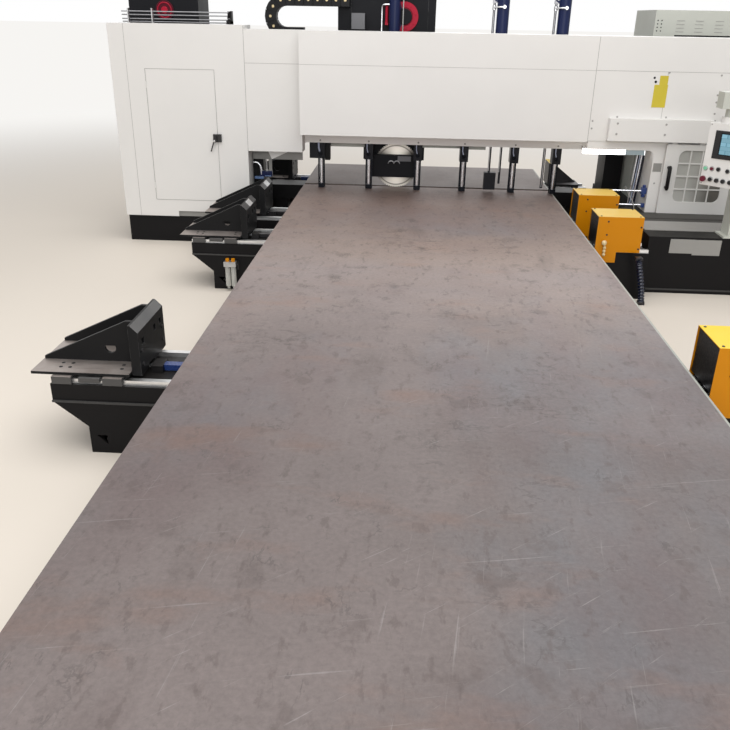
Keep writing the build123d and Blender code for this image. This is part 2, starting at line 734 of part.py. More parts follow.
# electrical cabinet behind the right cover
made["electrical_cabinet"] = shell(cross_right + 20, half_width, 60, base_back, deck, electrical_top, sheet, down=True)

# air unit on the second station
front = station_y[1] - frame_half
air_x = frame_left + 260
body = block(air_x - 50, air_x + 50, front - 10, front, 140, 200)
body += block(air_x - 40, air_x + 40, front - 60, front - 10, 172, 205)
for x in (air_x - 19, air_x + 19):
    body += post(x, front - 35, 36, 172, 17)
    body += faceted((x, front - 35, 18), (0, 0, 1), 18, 9)
    body += faceted((x, front - 35, 205), (0, 0, 1), 17, 13)
made["air_unit"] = body

# table behind the cut, under the piece
table_y0, table_y1 = piece_front + 10, piece_front + 210
body = block(beam_left + 85, base_right_in, table_y0, table_y1, plate_under - 14, plate_under)
for y in (table_y0, table_y1 - 16):
    body += block(beam_left + 85, base_right_in, y, y + 16, plate_under - 114, plate_under - 14)
for x in (-table_leg, 0, table_leg):
    body += block(x - 50, x + 50, table_y0 + 16, table_y1 - 16, 0, plate_under - 14)
made["outfeed_table"] = body

# the origin lies under the middle of the whole machine
back_edge = station_y[-1] + jaw_back
shift = Pos(0, (plate_length - back_edge) / 2, 0)
for name, shape in made.items():
    export_step(shift * shape, f"parts/{name}.step")
print(len(made), "pieces")
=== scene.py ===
import bpy
import json
import math
import numpy as np
from mathutils import Vector, Matrix


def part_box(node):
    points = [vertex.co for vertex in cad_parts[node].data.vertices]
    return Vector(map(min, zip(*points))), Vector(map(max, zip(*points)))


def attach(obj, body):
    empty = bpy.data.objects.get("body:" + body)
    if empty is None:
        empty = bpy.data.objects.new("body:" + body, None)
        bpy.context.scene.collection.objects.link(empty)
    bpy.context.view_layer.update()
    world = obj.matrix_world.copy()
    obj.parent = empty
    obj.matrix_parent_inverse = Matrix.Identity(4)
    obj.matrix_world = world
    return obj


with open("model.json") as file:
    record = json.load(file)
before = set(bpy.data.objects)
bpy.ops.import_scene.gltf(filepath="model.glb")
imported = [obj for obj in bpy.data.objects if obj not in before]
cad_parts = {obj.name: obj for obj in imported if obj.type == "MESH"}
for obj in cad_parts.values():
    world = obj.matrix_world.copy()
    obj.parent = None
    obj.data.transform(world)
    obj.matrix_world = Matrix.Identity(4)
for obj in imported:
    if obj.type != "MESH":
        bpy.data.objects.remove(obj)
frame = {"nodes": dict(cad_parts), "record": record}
scene = bpy.context.scene
nodes = frame["nodes"]
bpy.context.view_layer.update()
plateLong = 6.0
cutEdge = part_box("steel_plate")[0].y + plateLong          # every place is counted from here


def at(x, y, z):
    # millimetres from the plate's middle, its cut edge and the floor, into the frame
    return Vector((x / 1000, y / 1000 + cutEdge, z / 1000))


# camera, worked out from the photo's straight lines
lens = {"place": (-132.1, -6378.1, 1692.0), "focal": 38.26, "tilt": 24.144, "pan": 3.067, "roll": 1.019}
tilt, pan, roll = (math.radians(lens[turn]) for turn in ("tilt", "pan", "roll"))
cameraData = bpy.data.cameras.new("camera")
cameraData.lens, cameraData.sensor_width, cameraData.clip_end = lens["focal"], 36, 300
camera = bpy.data.objects.new("camera", cameraData)
camera.matrix_world = (Matrix.Translation(at(*lens["place"])) @ Matrix.Rotation(pan, 4, "Z")
                       @ Matrix.Rotation(math.pi / 2 - tilt, 4, "X") @ Matrix.Rotation(roll, 4, "Z"))
scene.collection.objects.link(camera)
scene.camera = camera
scene.view_settings.view_transform = "Standard"


# shader helpers: most of them give back an output socket
def feed(tree, node, values):
    # a socket among the values is linked, anything else is set
    for key, value in values.items():
        if isinstance(value, bpy.types.NodeSocket):
            tree.links.new(value, node.inputs[key])
        else:
            node.inputs[key].default_value = value


def add(tree, kind, values=None, out=0, **settings):
    made = tree.nodes.new("ShaderNode" + kind)
    for key, value in settings.items():
        setattr(made, key, value)
    feed(tree, made, values or {})
    return made.outputs[out]


def span(tree, value, low, high, toLow=0.0, toHigh=1.0):
    return add(tree, "MapRange", dict(enumerate((value, low, high, toLow, toHigh))))


def calc(tree, operation, *values):
    return add(tree, "Math", dict(enumerate(values)), operation=operation)


def vectorCalc(tree, operation, *values, out=0):
    return add(tree, "VectorMath", dict(enumerate(values)), out, operation=operation)


def times(tree, first, second):
    return calc(tree, "MULTIPLY", first, second)


def scaled(tree, color, factor):
    return add(tree, "VectorMath", {0: color, "Scale": factor}, operation="SCALE")


def distanceFrom(tree, value, middle):
    return calc(tree, "ABSOLUTE", calc(tree, "SUBTRACT", value, middle))


def spotOn(tree):
    return add(tree, "TexCoord", out="Object")


def noiseOn(tree, spot, scale, detail, roughness=0.5):
    return add(tree, "TexNoise", {"Vector": spot, "Scale": scale, "Detail": detail, "Roughness": roughness})


def axisOf(tree, vector, letter):
    return add(tree, "SeparateXYZ", {0: vector}, letter)


def mixed(tree, mask, first, second):
    # each colour is a socket, three numbers, or one number for a grey
    node = tree.nodes.new("ShaderNodeMix")
    node.data_type = "RGBA"
    values = {0: mask}
    for slot, color in ((6, first), (7, second)):
        color = (color,) * 3 if isinstance(color, float) else color
        values[slot] = (*color, 1) if isinstance(color, tuple) else color
    feed(tree, node, values)
    return node.outputs[2]


def newMaterial(name, color, roughness, metallic=0.0, **more):
    material = bpy.data.materials.new(name)
    material.use_nodes = True
    shader = material.node_tree.nodes["Principled BSDF"]
    feed(material.node_tree, shader, {"Base Color": (*color, 1), "Roughness": roughness, "Metallic": metallic})
    feed(material.node_tree, shader, {key.replace("_", " "): value for key, value in more.items()})
    return material, material.node_tree, shader


def newGroup(name, inputs):
    tree = bpy.data.node_groups.new(name, "ShaderNodeTree")
    for label, kind, value in inputs:
        tree.interface.new_socket(label, in_out="INPUT", socket_type="NodeSocket" + kind).default_value = value
    tree.interface.new_socket("Mask", in_out="OUTPUT", socket_type="NodeSocketFloat")
    return tree, tree.nodes.new("NodeGroupInput").outputs, tree.nodes.new("NodeGroupOutput").inputs["Mask"]


def use(tree, group, **values):
    made = tree.nodes.new("ShaderNodeGroup")
    made.node_tree = group
    feed(tree, made, values)
    return made.outputs["Mask"]


def cloudGroup():
    # soft clouds between two limits: a mask for stains and uneven gloss
    tree, given, mask = newGroup("clouds", [("Scale", "Float", 3.0), ("From", "Float", 0.4), ("To", "Float", 0.65),
                                            ("Stretch", "Vector", (1, 1, 1))])
    spot = vectorCalc(tree, "MULTIPLY", spotOn(tree), given["Stretch"])
    tree.links.new(span(tree, noiseOn(tree, spot, given["Scale"], 6, 0.6), given["From"], given["To"]), mask)
    return tree


def wearGroup():
    # worn edges: true normal against one rounded off over a few millimetres, broken up by noise
    tree, given, mask = newGroup("edge wear", [("Radius", "Float", 0.004), ("Amount", "Float", 0.6)])
    rounded = add(tree, "Bevel", {"Radius": given["Radius"]}, samples=4)
    flat = add(tree, "NewGeometry", out="True Normal")
    edge = span(tree, vectorCalc(tree, "DOT_PRODUCT", flat, rounded, out="Value"), 0.999, 0.93)
    crumb = span(tree, noiseOn(tree, spotOn(tree), 38, 5, 0.7), 0.42, 0.6)
    tree.links.new(times(tree, times(tree, edge, crumb), given["Amount"]), mask)
    return tree


def dustGroup():
    # dust lies where the surface looks up, in patches
    tree, given, mask = newGroup("dust", [("Scale", "Float", 6.0), ("Amount", "Float", 0.5)])
    up = span(tree, axisOf(tree, add(tree, "NewGeometry", out="Normal"), "Z"), 0.5, 0.95)
    patch = span(tree, noiseOn(tree, spotOn(tree), given["Scale"], 8, 0.65), 0.35, 0.7)
    tree.links.new(times(tree, times(tree, up, patch), given["Amount"]), mask)
    return tree


clouds, wear, dust = cloudGroup(), wearGroup(), dustGroup()


def cloudy(tree, scale, low, high, stretch=(1, 1, 1)):
    return use(tree, clouds, Scale=scale, From=low, To=high, Stretch=stretch)


def paint(name, color, roughness, specular=0.5, chipped=(0.25, 0.25, 0.26), wearAmount=0.5, wearRadius=0.003,
          dusty=(0.45, 0.41, 0.36), dustAmount=0.3, mottle=0.06, peel=0.03, metallic=0.0, soft=0.002):
    material, tree, shader = newMaterial(name, color, roughness, metallic)
    patches = cloudy(tree, 2.2, 0.3, 0.75)
    base = mixed(tree, patches, color, tuple(c * (1 - mottle) for c in color))
    base = mixed(tree, use(tree, wear, Radius=wearRadius, Amount=wearAmount), base, chipped)
    lying = use(tree, dust, Amount=dustAmount)
    base = mixed(tree, lying, base, dusty)
    gloss = span(tree, patches, 0, 1, roughness - 0.06, roughness + 0.12)
    bump = {"Strength": peel, "Distance": 0.001, "Height": noiseOn(tree, spotOn(tree), 420, 2)}
    if soft:
        # the corners look broken by a small round
        bump["Normal"] = add(tree, "Bevel", {"Radius": soft}, samples=3)
    feed(tree, shader, {"Specular IOR Level": specular, "Base Color": base, "Normal": add(tree, "Bump", bump),
                        "Roughness": calc(tree, "MAXIMUM", gloss, lying)})
    return material


def metal(name, color, roughness=0.3, stretch=(1, 40, 40), scratch=0.12, dustAmount=0.15, tint=None):
    # ground or drawn metal: noise pulled long one way roughens it in lines
    material, tree, shader = newMaterial(name, color, roughness, 1.0)
    lines = cloudy(tree, 9, 0.35, 0.7, stretch)
    stains = cloudy(tree, 5, 0.45, 0.75)
    base = mixed(tree, stains, color, tint or tuple(c * 0.72 for c in color))
    base = mixed(tree, use(tree, dust, Amount=dustAmount), base, (0.3, 0.27, 0.24))
    feed(tree, shader, {"Base Color": base,
                        "Roughness": span(tree, lines, 0, 1, roughness - scratch * 0.5, roughness + scratch),
                        "Normal": add(tree, "Bump", {"Strength": 0.08, "Distance": 0.0005, "Height": lines})})
    return material


# name, colour, roughness, shine, chips: colour, amount and radius, dust: colour and amount, mottling, orange peel
sheetWear = ((0.5, 0.49, 0.47), 0.1, 0.002, (0.42, 0.39, 0.35), 0.1)
casing = paint("casing", (0.72, 0.705, 0.685), 0.4, 0.5, *sheetWear, 0.035, 0.02)
# painted shade: the door's sheet is the casing's white made darker, to stand for the shade under the track cover
doorCasingShaded = paint("door casing in painted shade", (0.67, 0.66, 0.64), 0.38, 0.5, *sheetWear, 0.05, 0.02)
# painted light: the lip's sheet is the casing's white made lighter, to stand for light falling on it
lipCasingLit = paint("lip casing in painted light", (0.87, 0.855, 0.83), 0.4, 0.5, *sheetWear, 0.035, 0.02)
trayGrey = paint("tray grey", (0.265, 0.257, 0.244), 0.5, 0.2, (0.3, 0.29, 0.27), 0.1, 0.002, (0.2, 0.19, 0.17),
                 0.2, 0.1)
# painted shade: a dark sheet colour for the shade band under the sliding door
deckShade = paint("deck sheet in painted shade", (0.06, 0.057, 0.053), 0.6, 0.12, 0.1, 0.2, 0.002, (0.07, 0.065, 0.06), 0.2, 0.2)
baseTop = paint("base top", (0.014, 0.0135, 0.013), 0.5, 0.1, 0.08, 0.3, 0.003, (0.05, 0.045, 0.04), 0.3, 0.2)
# painted shade: grey for set-back bands of the white casing that lie in shade
casingShade = paint("casing grey and painted shade", (0.27, 0.265, 0.25), 0.5, 0.5, (0.3, 0.3, 0.28), 0.2, 0.002,
                    (0.3, 0.28, 0.25), 0.1, 0.1)
cabinetGrey = paint("cabinet grey", (0.5, 0.51, 0.46), 0.45, 0.5, (0.4, 0.4, 0.38), 0.1, 0.002, (0.35, 0.33, 0.3),
                    0.1, 0.05, 0.02)
blackPaint = paint("black enamel", (0.005, 0.0046, 0.0052), 0.42, 0.16, (0.05, 0.046, 0.042), 0.3, 0.003,
                   (0.05, 0.045, 0.04), 0.35, 0.2, 0.04)
# deck grey, also a painted highlight: lighter lines on the black frames' ledges and the base's foot rail
deckGreyAndHighlight = paint("deck grey and painted highlight", (0.045, 0.044, 0.043), 0.5, 0.25, 0.1, 0.3, 0.003, (0.1, 0.09, 0.08), 0.3, 0.2)
yellowPaint = paint("yellow enamel", (0.58, 0.215, 0.0015), 0.34, 0.2, (0.35, 0.22, 0.05), 0.25, 0.002,
                    (0.6, 0.35, 0.1), 0.1, 0.08)
# painted light: the boxes' upper faces in a lighter, clearer yellow, for the light falling on them
yellowTopLit = paint("yellow enamel with painted top light", (0.74, 0.5, 0.003), 0.36, 0.15, (0.4, 0.3, 0.05), 0.2, 0.002,
                  (0.6, 0.45, 0.1), 0.08)
paleTopLit = paint("pale yellow enamel with painted top light", (0.72, 0.49, 0.12), 0.36, 0.15, (0.4, 0.3, 0.1), 0.2, 0.002, (0.6, 0.45, 0.2),
                0.08)
blockGrey = paint("bearing block grey", (0.055, 0.053, 0.052), 0.45, 0.5, 0.3, 0.3, 0.002, (0.1, 0.09, 0.08), 0.2,
                  0.2)
bluePaint = paint("blue enamel", (0.014, 0.038, 0.16), 0.26, 0.5, (0.3, 0.33, 0.4), 0.4, 0.002, (0.2, 0.2, 0.22), 0.1)
navyPaint = paint("navy enamel", (0.009, 0.015, 0.06), 0.3, 0.2, (0.1, 0.11, 0.14), 0.2, 0.002, 0.1, 0.05)
paleBlue = paint("pale blue enamel", (0.1, 0.17, 0.33), 0.3, 0.5, (0.3, 0.35, 0.45), 0.3, 0.002, dustAmount=0.05)
housingBlack = paint("housing black", (0.007, 0.0075, 0.011), 0.4, 0.2, (0.06, 0.06, 0.07), 0.3, 0.002, 0.05, 0.2,
                     0.1)
jawPaint = paint("jaw black", (0.0085, 0.0085, 0.009), 0.45, 0.14, 0.12, 0.5, 0.004, (0.08, 0.075, 0.07), 0.25, 0.2)
jawGrey = paint("jaw edge", (0.045, 0.045, 0.046), 0.4, 0.5, 0.2, 0.6, 0.004, (0.2, 0.18, 0.16), 0.25, 0.25,
                metallic=0.3)
sawPaint = paint("saw grey", (0.0085, 0.0088, 0.011), 0.5, 0.12, 0.06, 0.3, 0.003, (0.05, 0.045, 0.042), 0.3, 0.15)
motorGrey = paint("motor grey", (0.13, 0.13, 0.14), 0.45, 0.5, 0.3, 0.2, 0.003)
chainPlastic = paint("chain plastic", (0.006, 0.006, 0.0065), 0.5, 0.2, 0.05, 0.2, 0.002, (0.05, 0.045, 0.04), 0.2)
redPaint = paint("red enamel", (0.42, 0.011, 0.035), 0.4, 0.15, (0.45, 0.1, 0.1), 0.15, 0.002, (0.3, 0.1, 0.1), 0.05)
darkRed = paint("dark red enamel", (0.085, 0.005, 0.014), 0.45, 0.15, (0.2, 0.05, 0.05), 0.2, 0.002,
                (0.1, 0.05, 0.05), 0.1)
pipeSteel = metal("pipe steel", (0.26, 0.26, 0.27), 0.34, (1, 12, 12), 0.1, 0.1)
redPlastic = paint("red plastic", (0.12, 0.004, 0.022), 0.3, 0.5, (0.4, 0.1, 0.1), 0.1, 0.001, dustAmount=0.0)
greenPlastic = paint("green plastic", (0.2, 0.58, 0.36), 0.3, 0.5, (0.1, 0.5, 0.2), 0.1, 0.001, dustAmount=0.0)
blackPlastic = paint("black plastic", (0.008, 0.008, 0.009), 0.32, 0.5, 0.05, 0.2, 0.001, dustAmount=0.05)
blankYellow = paint("blank yellow plate", (0.62, 0.5, 0.03), 0.45, 0.5, (0.5, 0.45, 0.1), 0.1, 0.001,
                    (0.5, 0.45, 0.2), 0.0, 0.2, soft=0)
blankWhite = paint("blank plate", (0.42, 0.42, 0.4), 0.35, 0.5, 0.3, 0.1, 0.001, (0.4, 0.4, 0.38), 0.0, 0.15, soft=0)
barePlate = paint("bare plate", (0.29, 0.285, 0.27), 0.4, 0.5, 0.3, 0.1, 0.001, (0.3, 0.3, 0.28), 0.0, 0.15, soft=0)
seamShade = paint("seam", (0.36, 0.35, 0.335), 0.7, 0.1, dustAmount=0.0, soft=0)
# dark seam, also painted shade: dark discs for holes and a dark strip for the shadow gap over the cover
darkSeamAndShade = paint("dark seam and painted shade", (0.02, 0.02, 0.02), 0.8, 0.1, dustAmount=0.0, soft=0)
creamPlastic = paint("cream plastic", (0.7, 0.55, 0.3), 0.35, dustAmount=0.0)
tubeBlue = paint("pale tube", (0.42, 0.47, 0.62), 0.3, dustAmount=0.0, soft=0)
conduitBlue = paint("conduit blue", (0.003, 0.006, 0.022), 0.14, 0.5, (0.03, 0.05, 0.12), 0.1, 0.002,
                    dustAmount=0.0, soft=0)
brightSteel = metal("bright steel", (0.66, 0.66, 0.67), 0.22)
paleSteel = metal("pale steel", (0.5, 0.5, 0.5), 0.4, (12, 1, 12), 0.15, 0.1)
darkSteel = metal("dark steel", (0.05, 0.048, 0.05), 0.42, (1, 12, 12), 0.15, 0.1)
brownSteel = metal("brown steel", (0.36, 0.32, 0.3), 0.5, (1, 18, 1), 0.12, 0.25, (0.24, 0.2, 0.18))
railSteel = metal("rail steel", (0.85, 0.85, 0.85), 0.36, (1, 12, 12), 0.1, 0.1)
blackSteel = metal("blued steel", (0.016, 0.017, 0.021), 0.4, (30, 30, 1), 0.1, 0.0)
chromeRod = metal("chrome", (0.84, 0.85, 0.88), 0.24, (30, 30, 1), 0.08, 0.0)
lamp = newMaterial("lamp", (1, 1, 1), 0.4, Emission_Strength=5.0, Emission_Color=(1, 1, 1, 1))[0]
lampDim = newMaterial("lamp end", (0.26, 0.32, 0.34), 0.3, Emission_Strength=0.06,
                      Emission_Color=(0.6, 0.75, 0.9, 1))[0]
clearBowl = newMaterial("clear bowl", (0.8, 0.8, 0.76), 0.08, Transmission_Weight=0.55)[0]


def plateLook():
    # mill scale on rolled plate: brown and blue-grey patches, scuffs, strokes, scratches, rust at the cut, and
    # painted reflection, shade and highlight
    material, tree, shader = newMaterial("mill scale", (0.15, 0.125, 0.12), 0.5, 0.35)
    spot = spotOn(tree)
    x, y = axisOf(tree, spot, "X"), axisOf(tree, spot, "Y")
    broad = cloudy(tree, 0.55, 0.38, 0.62)
    base = mixed(tree, broad, (0.145, 0.119, 0.114), (0.108, 0.089, 0.0855))
    for scale, low, high, stretch, amount, color in ((0.9, 0.5, 0.7, (1, 0.6, 1), 1, (0.112, 0.11, 0.118)),
                                                     (1.7, 0.5, 0.7, (1, 0.5, 1), 0.6, (0.105, 0.074, 0.073)),
                                                     (3.1, 0.56, 0.75, (0.7, 1.6, 1), 0.5, (0.152, 0.088, 0.066))):
        base = mixed(tree, times(tree, cloudy(tree, scale, low, high, stretch), amount), base, color)
    # painted reflection: brighter where the light cover would mirror in it; then rust with painted shade towards the
    # cut edge
    lit = scaled(tree, base, span(tree, y, cutEdge - 4.3, cutEdge - 2.3, 1.0, 1.78))
    tan = cloudy(tree, 1.1, 0.42, 0.62, (0.6, 1.6, 1))
    upper = span(tree, y, cutEdge - 3.6, cutEdge - 2.0, 0.0, 0.5)
    base = mixed(tree, times(tree, tan, upper), lit, (0.3, 0.225, 0.185))
    base = mixed(tree, span(tree, y, cutEdge - 2.1, cutEdge - 0.5, 0.0, 0.75), base, (0.175, 0.117, 0.095))
    # painted shade: the cut-off piece beyond the cut edge darker
    base = mixed(tree, span(tree, y, cutEdge + 0.01, cutEdge + 0.03, 0.0, 0.8), base, (0.1, 0.08, 0.072))
    # smudges and scuffs, dark and crisp-edged
    for scale, low, high, stretch, amount in ((7, 0.58, 0.66, (1, 1, 1), 0.36), (19, 0.58, 0.66, (1.6, 0.7, 1), 0.42),
                                              (2.6, 0.57, 0.7, (2, 0.6, 1), 0.3)):
        smudge = cloudy(tree, scale, low, high, stretch)
        base = mixed(tree, times(tree, smudge, amount), base, (0.072, 0.054, 0.05))
    # strokes: a thin line where one noise passes its middle value, broken up by another
    for scale, thin, seed, stretch in ((5, 0.007, 3.1, (1, 1, 1)), (9, 0.01, 7.7, (1.7, 0.7, 1)),
                                       (2.4, 0.005, 1.3, (0.7, 1.8, 1))):
        moved = vectorCalc(tree, "ADD", spot, (seed, seed * 2, 0))
        noise = noiseOn(tree, vectorCalc(tree, "MULTIPLY", moved, stretch), scale, 6, 0.62)
        line = span(tree, distanceFrom(tree, noise, 0.5), thin, thin * 2, 1.0, 0.0)
        breaks = cloudy(tree, scale * 0.8, 0.56, 0.66)
        base = mixed(tree, times(tree, times(tree, line, breaks), 0.42), base, (0.05, 0.042, 0.04))
    # painted highlight: a pale strip along the right edge where it catches the light
    base = mixed(tree, span(tree, x, 0.99, 0.992, 0.0, 0.6), base, (0.4, 0.43, 0.38))
    # scratches: noise drawn out in one direction, only its crests
    for stretch, turn in (((60, 1.2, 1), 0.12), ((1.5, 70, 1), -0.2), ((90, 2.5, 1), 0.9)):
        spun = add(tree, "VectorRotate", {"Vector": spot, "Angle": turn}, rotation_type="Z_AXIS")
        noise = noiseOn(tree, vectorCalc(tree, "MULTIPLY", spun, stretch), 1.4, 4, 0.65)
        base = mixed(tree, times(tree, span(tree, noise, 0.66, 0.72), 0.4), base, (0.26, 0.24, 0.235))
    fine = noiseOn(tree, spot, 60, 5, 0.7)
    feed(tree, shader, {"Base Color": scaled(tree, base, span(tree, fine, 0.3, 0.7, 0.87, 1.13)),
                        "Roughness": span(tree, broad, 0, 1, 0.42, 0.6),
                        "Normal": add(tree, "Bump", {"Strength": 0.12, "Distance": 0.002, "Height": fine})})
    return material


def bladeLook(centre):
    # turned steel: rings round the shaft, brightness by sine of the radius
    material, tree, shader = newMaterial("blade steel", (0.7, 0.68, 0.64), 0.32, 0.85)
    ringsPerMetre, hubEdge, stepAt = 1900.0, 0.131, 0.154
    away = vectorCalc(tree, "SUBTRACT", spotOn(tree), tuple(centre))
    radius = vectorCalc(tree, "LENGTH", away, out="Value")
    wave = calc(tree, "SINE", times(tree, radius, ringsPerMetre))
    hub = span(tree, radius, hubEdge - 0.003, hubEdge + 0.003)
    base = mixed(tree, hub, (0.19, 0.165, 0.135), (0.16, 0.15, 0.135))
    base = mixed(tree, cloudy(tree, 14, 0.45, 0.7), base, (0.11, 0.095, 0.08))
    # painted highlight: the turned rings lighter above and below the shaft, where they would catch the light
    upright = calc(tree, "ABSOLUTE", axisOf(tree, vectorCalc(tree, "NORMALIZE", away), "Z"))
    base = mixed(tree, span(tree, upright, 0.62, 1.0, 0.0, 0.9), base, (0.72, 0.68, 0.61))
    # a dark step turned in at mid radius
    step = span(tree, distanceFrom(tree, radius, stepAt), 0.003, 0.007, 0.75, 0.0)
    feed(tree, shader, {"Base Color": mixed(tree, step, base, (0.09, 0.08, 0.068)),
                        "Normal": add(tree, "Bump", {"Strength": 0.3, "Distance": 0.0004, "Height": wave})})
    return material


def windowLook(low, high):
    # smoky acrylic, a little cloudy, paler at the lower left, darker at the lower right
    material, tree, shader = newMaterial("window", (0.34, 0.34, 0.32), 0.16)
    base = mixed(tree, cloudy(tree, 4, 0.35, 0.7), (0.43, 0.43, 0.405), (0.32, 0.32, 0.3))
    spot = spotOn(tree)
    down = span(tree, axisOf(tree, spot, "Z"), high.z - 0.08, low.z + 0.1)
    for first, last, color in ((high.x - 0.12, low.x, (0.45, 0.445, 0.42)),
                               (low.x + 0.09, high.x - 0.06, (0.085, 0.08, 0.07))):
        base = mixed(tree, times(tree, span(tree, axisOf(tree, spot, "X"), first, last), down), base, color)
    tree.links.new(base, shader.inputs["Base Color"])
    return material


def pictureLook():
    # lit panel: pale cells on a blue ground, on the piece's own UV
    material, tree, shader = newMaterial("lit picture", (0.05, 0.11, 0.14), 0.2)
    cells = add(tree, "TexBrick", {"Vector": add(tree, "TexCoord", out="UV"), "Scale": 1.0, "Mortar Size": 0.012,
                                   "Brick Width": 0.25, "Row Height": 0.2, "Color1": (0.15, 0.3, 0.38, 1),
                                   "Color2": (0.2, 0.4, 0.5, 1), "Mortar": (0.1, 0.24, 0.32, 1)})
    feed(tree, shader, {"Base Color": cells, "Emission Color": cells, "Emission Strength": 0.25})
    return material


window = {"left": 1805, "right": 2138, "low": 482, "high": 851, "front": -509.5, "glass": -501.2, "round": 48}
intoDoor = nodes["sliding_door"].matrix_world.inverted()
windowGrey = windowLook(intoDoor @ at(window["left"], window["glass"], window["low"]),
                        intoDoor @ at(window["right"], window["glass"], window["high"]))
plateSteel, litPicture = plateLook(), pictureLook()

looks = {
    "casing": casing, "machine_black": blackPaint, "plate_steel": plateSteel, "bright_steel": brightSteel,
    "dark_steel": darkSteel, "clamp_grey": jawPaint, "yellow": yellowPaint, "blue_paint": bluePaint,
    "saw_grey": sawPaint, "chrome_rod": chromeRod, "chain_black": chainPlastic, "light": lamp,
    "red_button": redPlastic, "green_button": greenPlastic, "black_plastic": blackPlastic,
    "screen": blackPaint, "clear_bowl": clearBowl}
for part in frame["record"]["subparts"]:
    mesh = nodes[part["node"]].data
    mesh.materials.clear()
    mesh.materials.append(looks[part["material_slot"]])


# a CAD node may hold several finishes: faces are chosen by their middle and normal
def coat(node, look, wanted):
    piece = nodes[node]
    mesh = piece.data
    count = len(mesh.polygons)
    middle, normal, index = np.empty(count * 3), np.empty(count * 3), np.empty(count, dtype=np.int32)
    mesh.polygons.foreach_get("center", middle)
    mesh.polygons.foreach_get("normal", normal)
    mesh.polygons.foreach_get("material_index", index)
    turn = np.array(piece.matrix_world)
    middle = (middle.reshape(-1, 3) @ turn[:3, :3].T + turn[:3, 3] - (0, cutEdge, 0)) * 1000
    normal = normal.reshape(-1, 3) @ turn[:3, :3].T
    mesh.materials.append(look)
    index[wanted(*middle.T, normal.T)] = len(mesh.materials) - 1
    mesh.polygons.foreach_set("material_index", index)


def only(node, look):
    nodes[node].data.materials[0] = look


stationY = (-3430, -1255, -585, 805)
rodX = (-847, -467, -80, 280, 671, 997)
panelTurn = math.radians(-45)
panelCorner = np.array([1750, -1150, 734])


def panelDepth(x, y):
    # how far a point lies behind the panel's front, along its own depth
    return -(x - panelCorner[0]) * math.sin(panelTurn) + (y - panelCorner[1]) * math.cos(panelTurn)


for number, yc in enumerate(stationY, 1):
    left, right = f"left_carriage_{number}", f"right_carriage_{number}"
    only(left, jawPaint)
    coat(left, brownSteel, lambda x, y, z, n: (z > 347) & (z < 361) & (n[2] > 0.5))
    coat(left, blockGrey, lambda x, y, z, n: (z < 347.5) & (x < -1235) & (abs(y - yc + 5) > 60))
    coat(left, chromeRod, lambda x, y, z, n: (z < 340) & (x > -1390) & (abs(y - yc + 5) < 10))
    coat(right, chromeRod, lambda x, y, z, n: (z < 340) & (x < 1160) & (abs(y - yc + 5) < 10))
    # painted highlight: the frame's ledge lighter than its black; its upper faces at the right also in deck grey
    coat(f"station_frame_{number}", deckGreyAndHighlight, lambda x, y, z, n: (z > 232) & (z < 242) & (x < -1400))
    coat(f"station_frame_{number}", deckGreyAndHighlight, lambda x, y, z, n: (n[2] > 0.9) & (z > 300) & (x > 990))
    jaw = f"left_jaw_{number}" if number < 4 else left
    coat(jaw, jawGrey, lambda x, y, z, n: (n[0] > 0.3) & (n[2] > 0.3) & (z > 500))

for number, rodMiddle in enumerate(rodX, 1):
    coat(f"hold_down_rod_{number}", blackSteel,
         lambda x, y, z, n: (z < 469) | (y > -80.5) | (abs(x - rodMiddle) > 14.2))
# painted light: upper faces of the yellow boxes lighter than their fronts
for node, top in (("yellow_cover_1", yellowTopLit), ("yellow_cover_2", paleTopLit), ("yellow_cover_3", paleTopLit),
                  ("right_carriage_4", yellowTopLit)):
    coat(node, top, lambda x, y, z, n: (n[2] > 0.9) & (z > 540))
hub = nodes["saw_blade"].matrix_world.inverted() @ Vector((-0.252, cutEdge + 0.025, 0.603))
# painted light and shade: the lip gets the lighter copy of the casing, the sliding door the darker one
for node, look in (("saw_blade", bladeLook(hub)), ("hold_down_beam", lipCasingLit), ("lift_cylinders", navyPaint),
                   ("sliding_door", doorCasingShaded), ("pull_handle", blackPaint), ("guide_rails", railSteel),
                   ("hold_down_cylinders", housingBlack), ("door_lock", darkSteel), ("outfeed_table", blackPaint),
                   ("electrical_cabinet", cabinetGrey), ("control_pedestal", cabinetGrey)):
    only(node, look)
coat("clamp_cylinders", darkSteel, lambda x, y, z, n: (x < -1120) | (x > 1020) | ((y > -1500) & (y < 0) & (x < 0)))
# painted shade: the deep band under the link cover in grey
coat("hold_down_beam", casingShade, lambda x, y, z, n: (x < -980) & (z < 789) & (y < -137))
coat("hold_down_beam", blackPaint, lambda x, y, z, n: (y > -149) & (abs(z - 994) > 8))
coat("lift_cylinders", pipeSteel, lambda x, y, z, n: (abs(x - 431) < 9.5) | (abs(x - 876) < 9.5))
coat("left_cabinet", blackPlastic, lambda x, y, z, n: (y < -301) & (x > -1630) & (z > 700))
# painted shade: the set-back band low on the cabinet's front in grey
coat("left_cabinet", casingShade, lambda x, y, z, n: (y > -299) & (z < 256))
coat("cabinet_door", blackPlastic, lambda x, y, z, n: (y < -301) & (x > -1700))
coat("gantry_beam", brightSteel, lambda x, y, z, n: (y < 299) & (z > 1000))
coat("saw_head", redPaint, lambda x, y, z, n: (y < 149) & (np.hypot(x + 226, z - 1700) < 107))
coat("saw_head", navyPaint, lambda x, y, z, n: (abs(x + 300) < 47) & (y < 149) & (z > 1490))
coat("saw_head", motorGrey, lambda x, y, z, n: (x < -520) & (y < 149) & (z > 1600))
coat("saw_head", brightSteel, lambda x, y, z, n: (y > 191) & (y < 213) & (z < 1450))
coat("milling_head", darkRed, lambda x, y, z, n: (y < 209) & (z > 1640))
coat("sliding_door", windowGrey, lambda x, y, z, n: (abs(y + 499) < 2.2) & (z < 852) & (x > 1804))
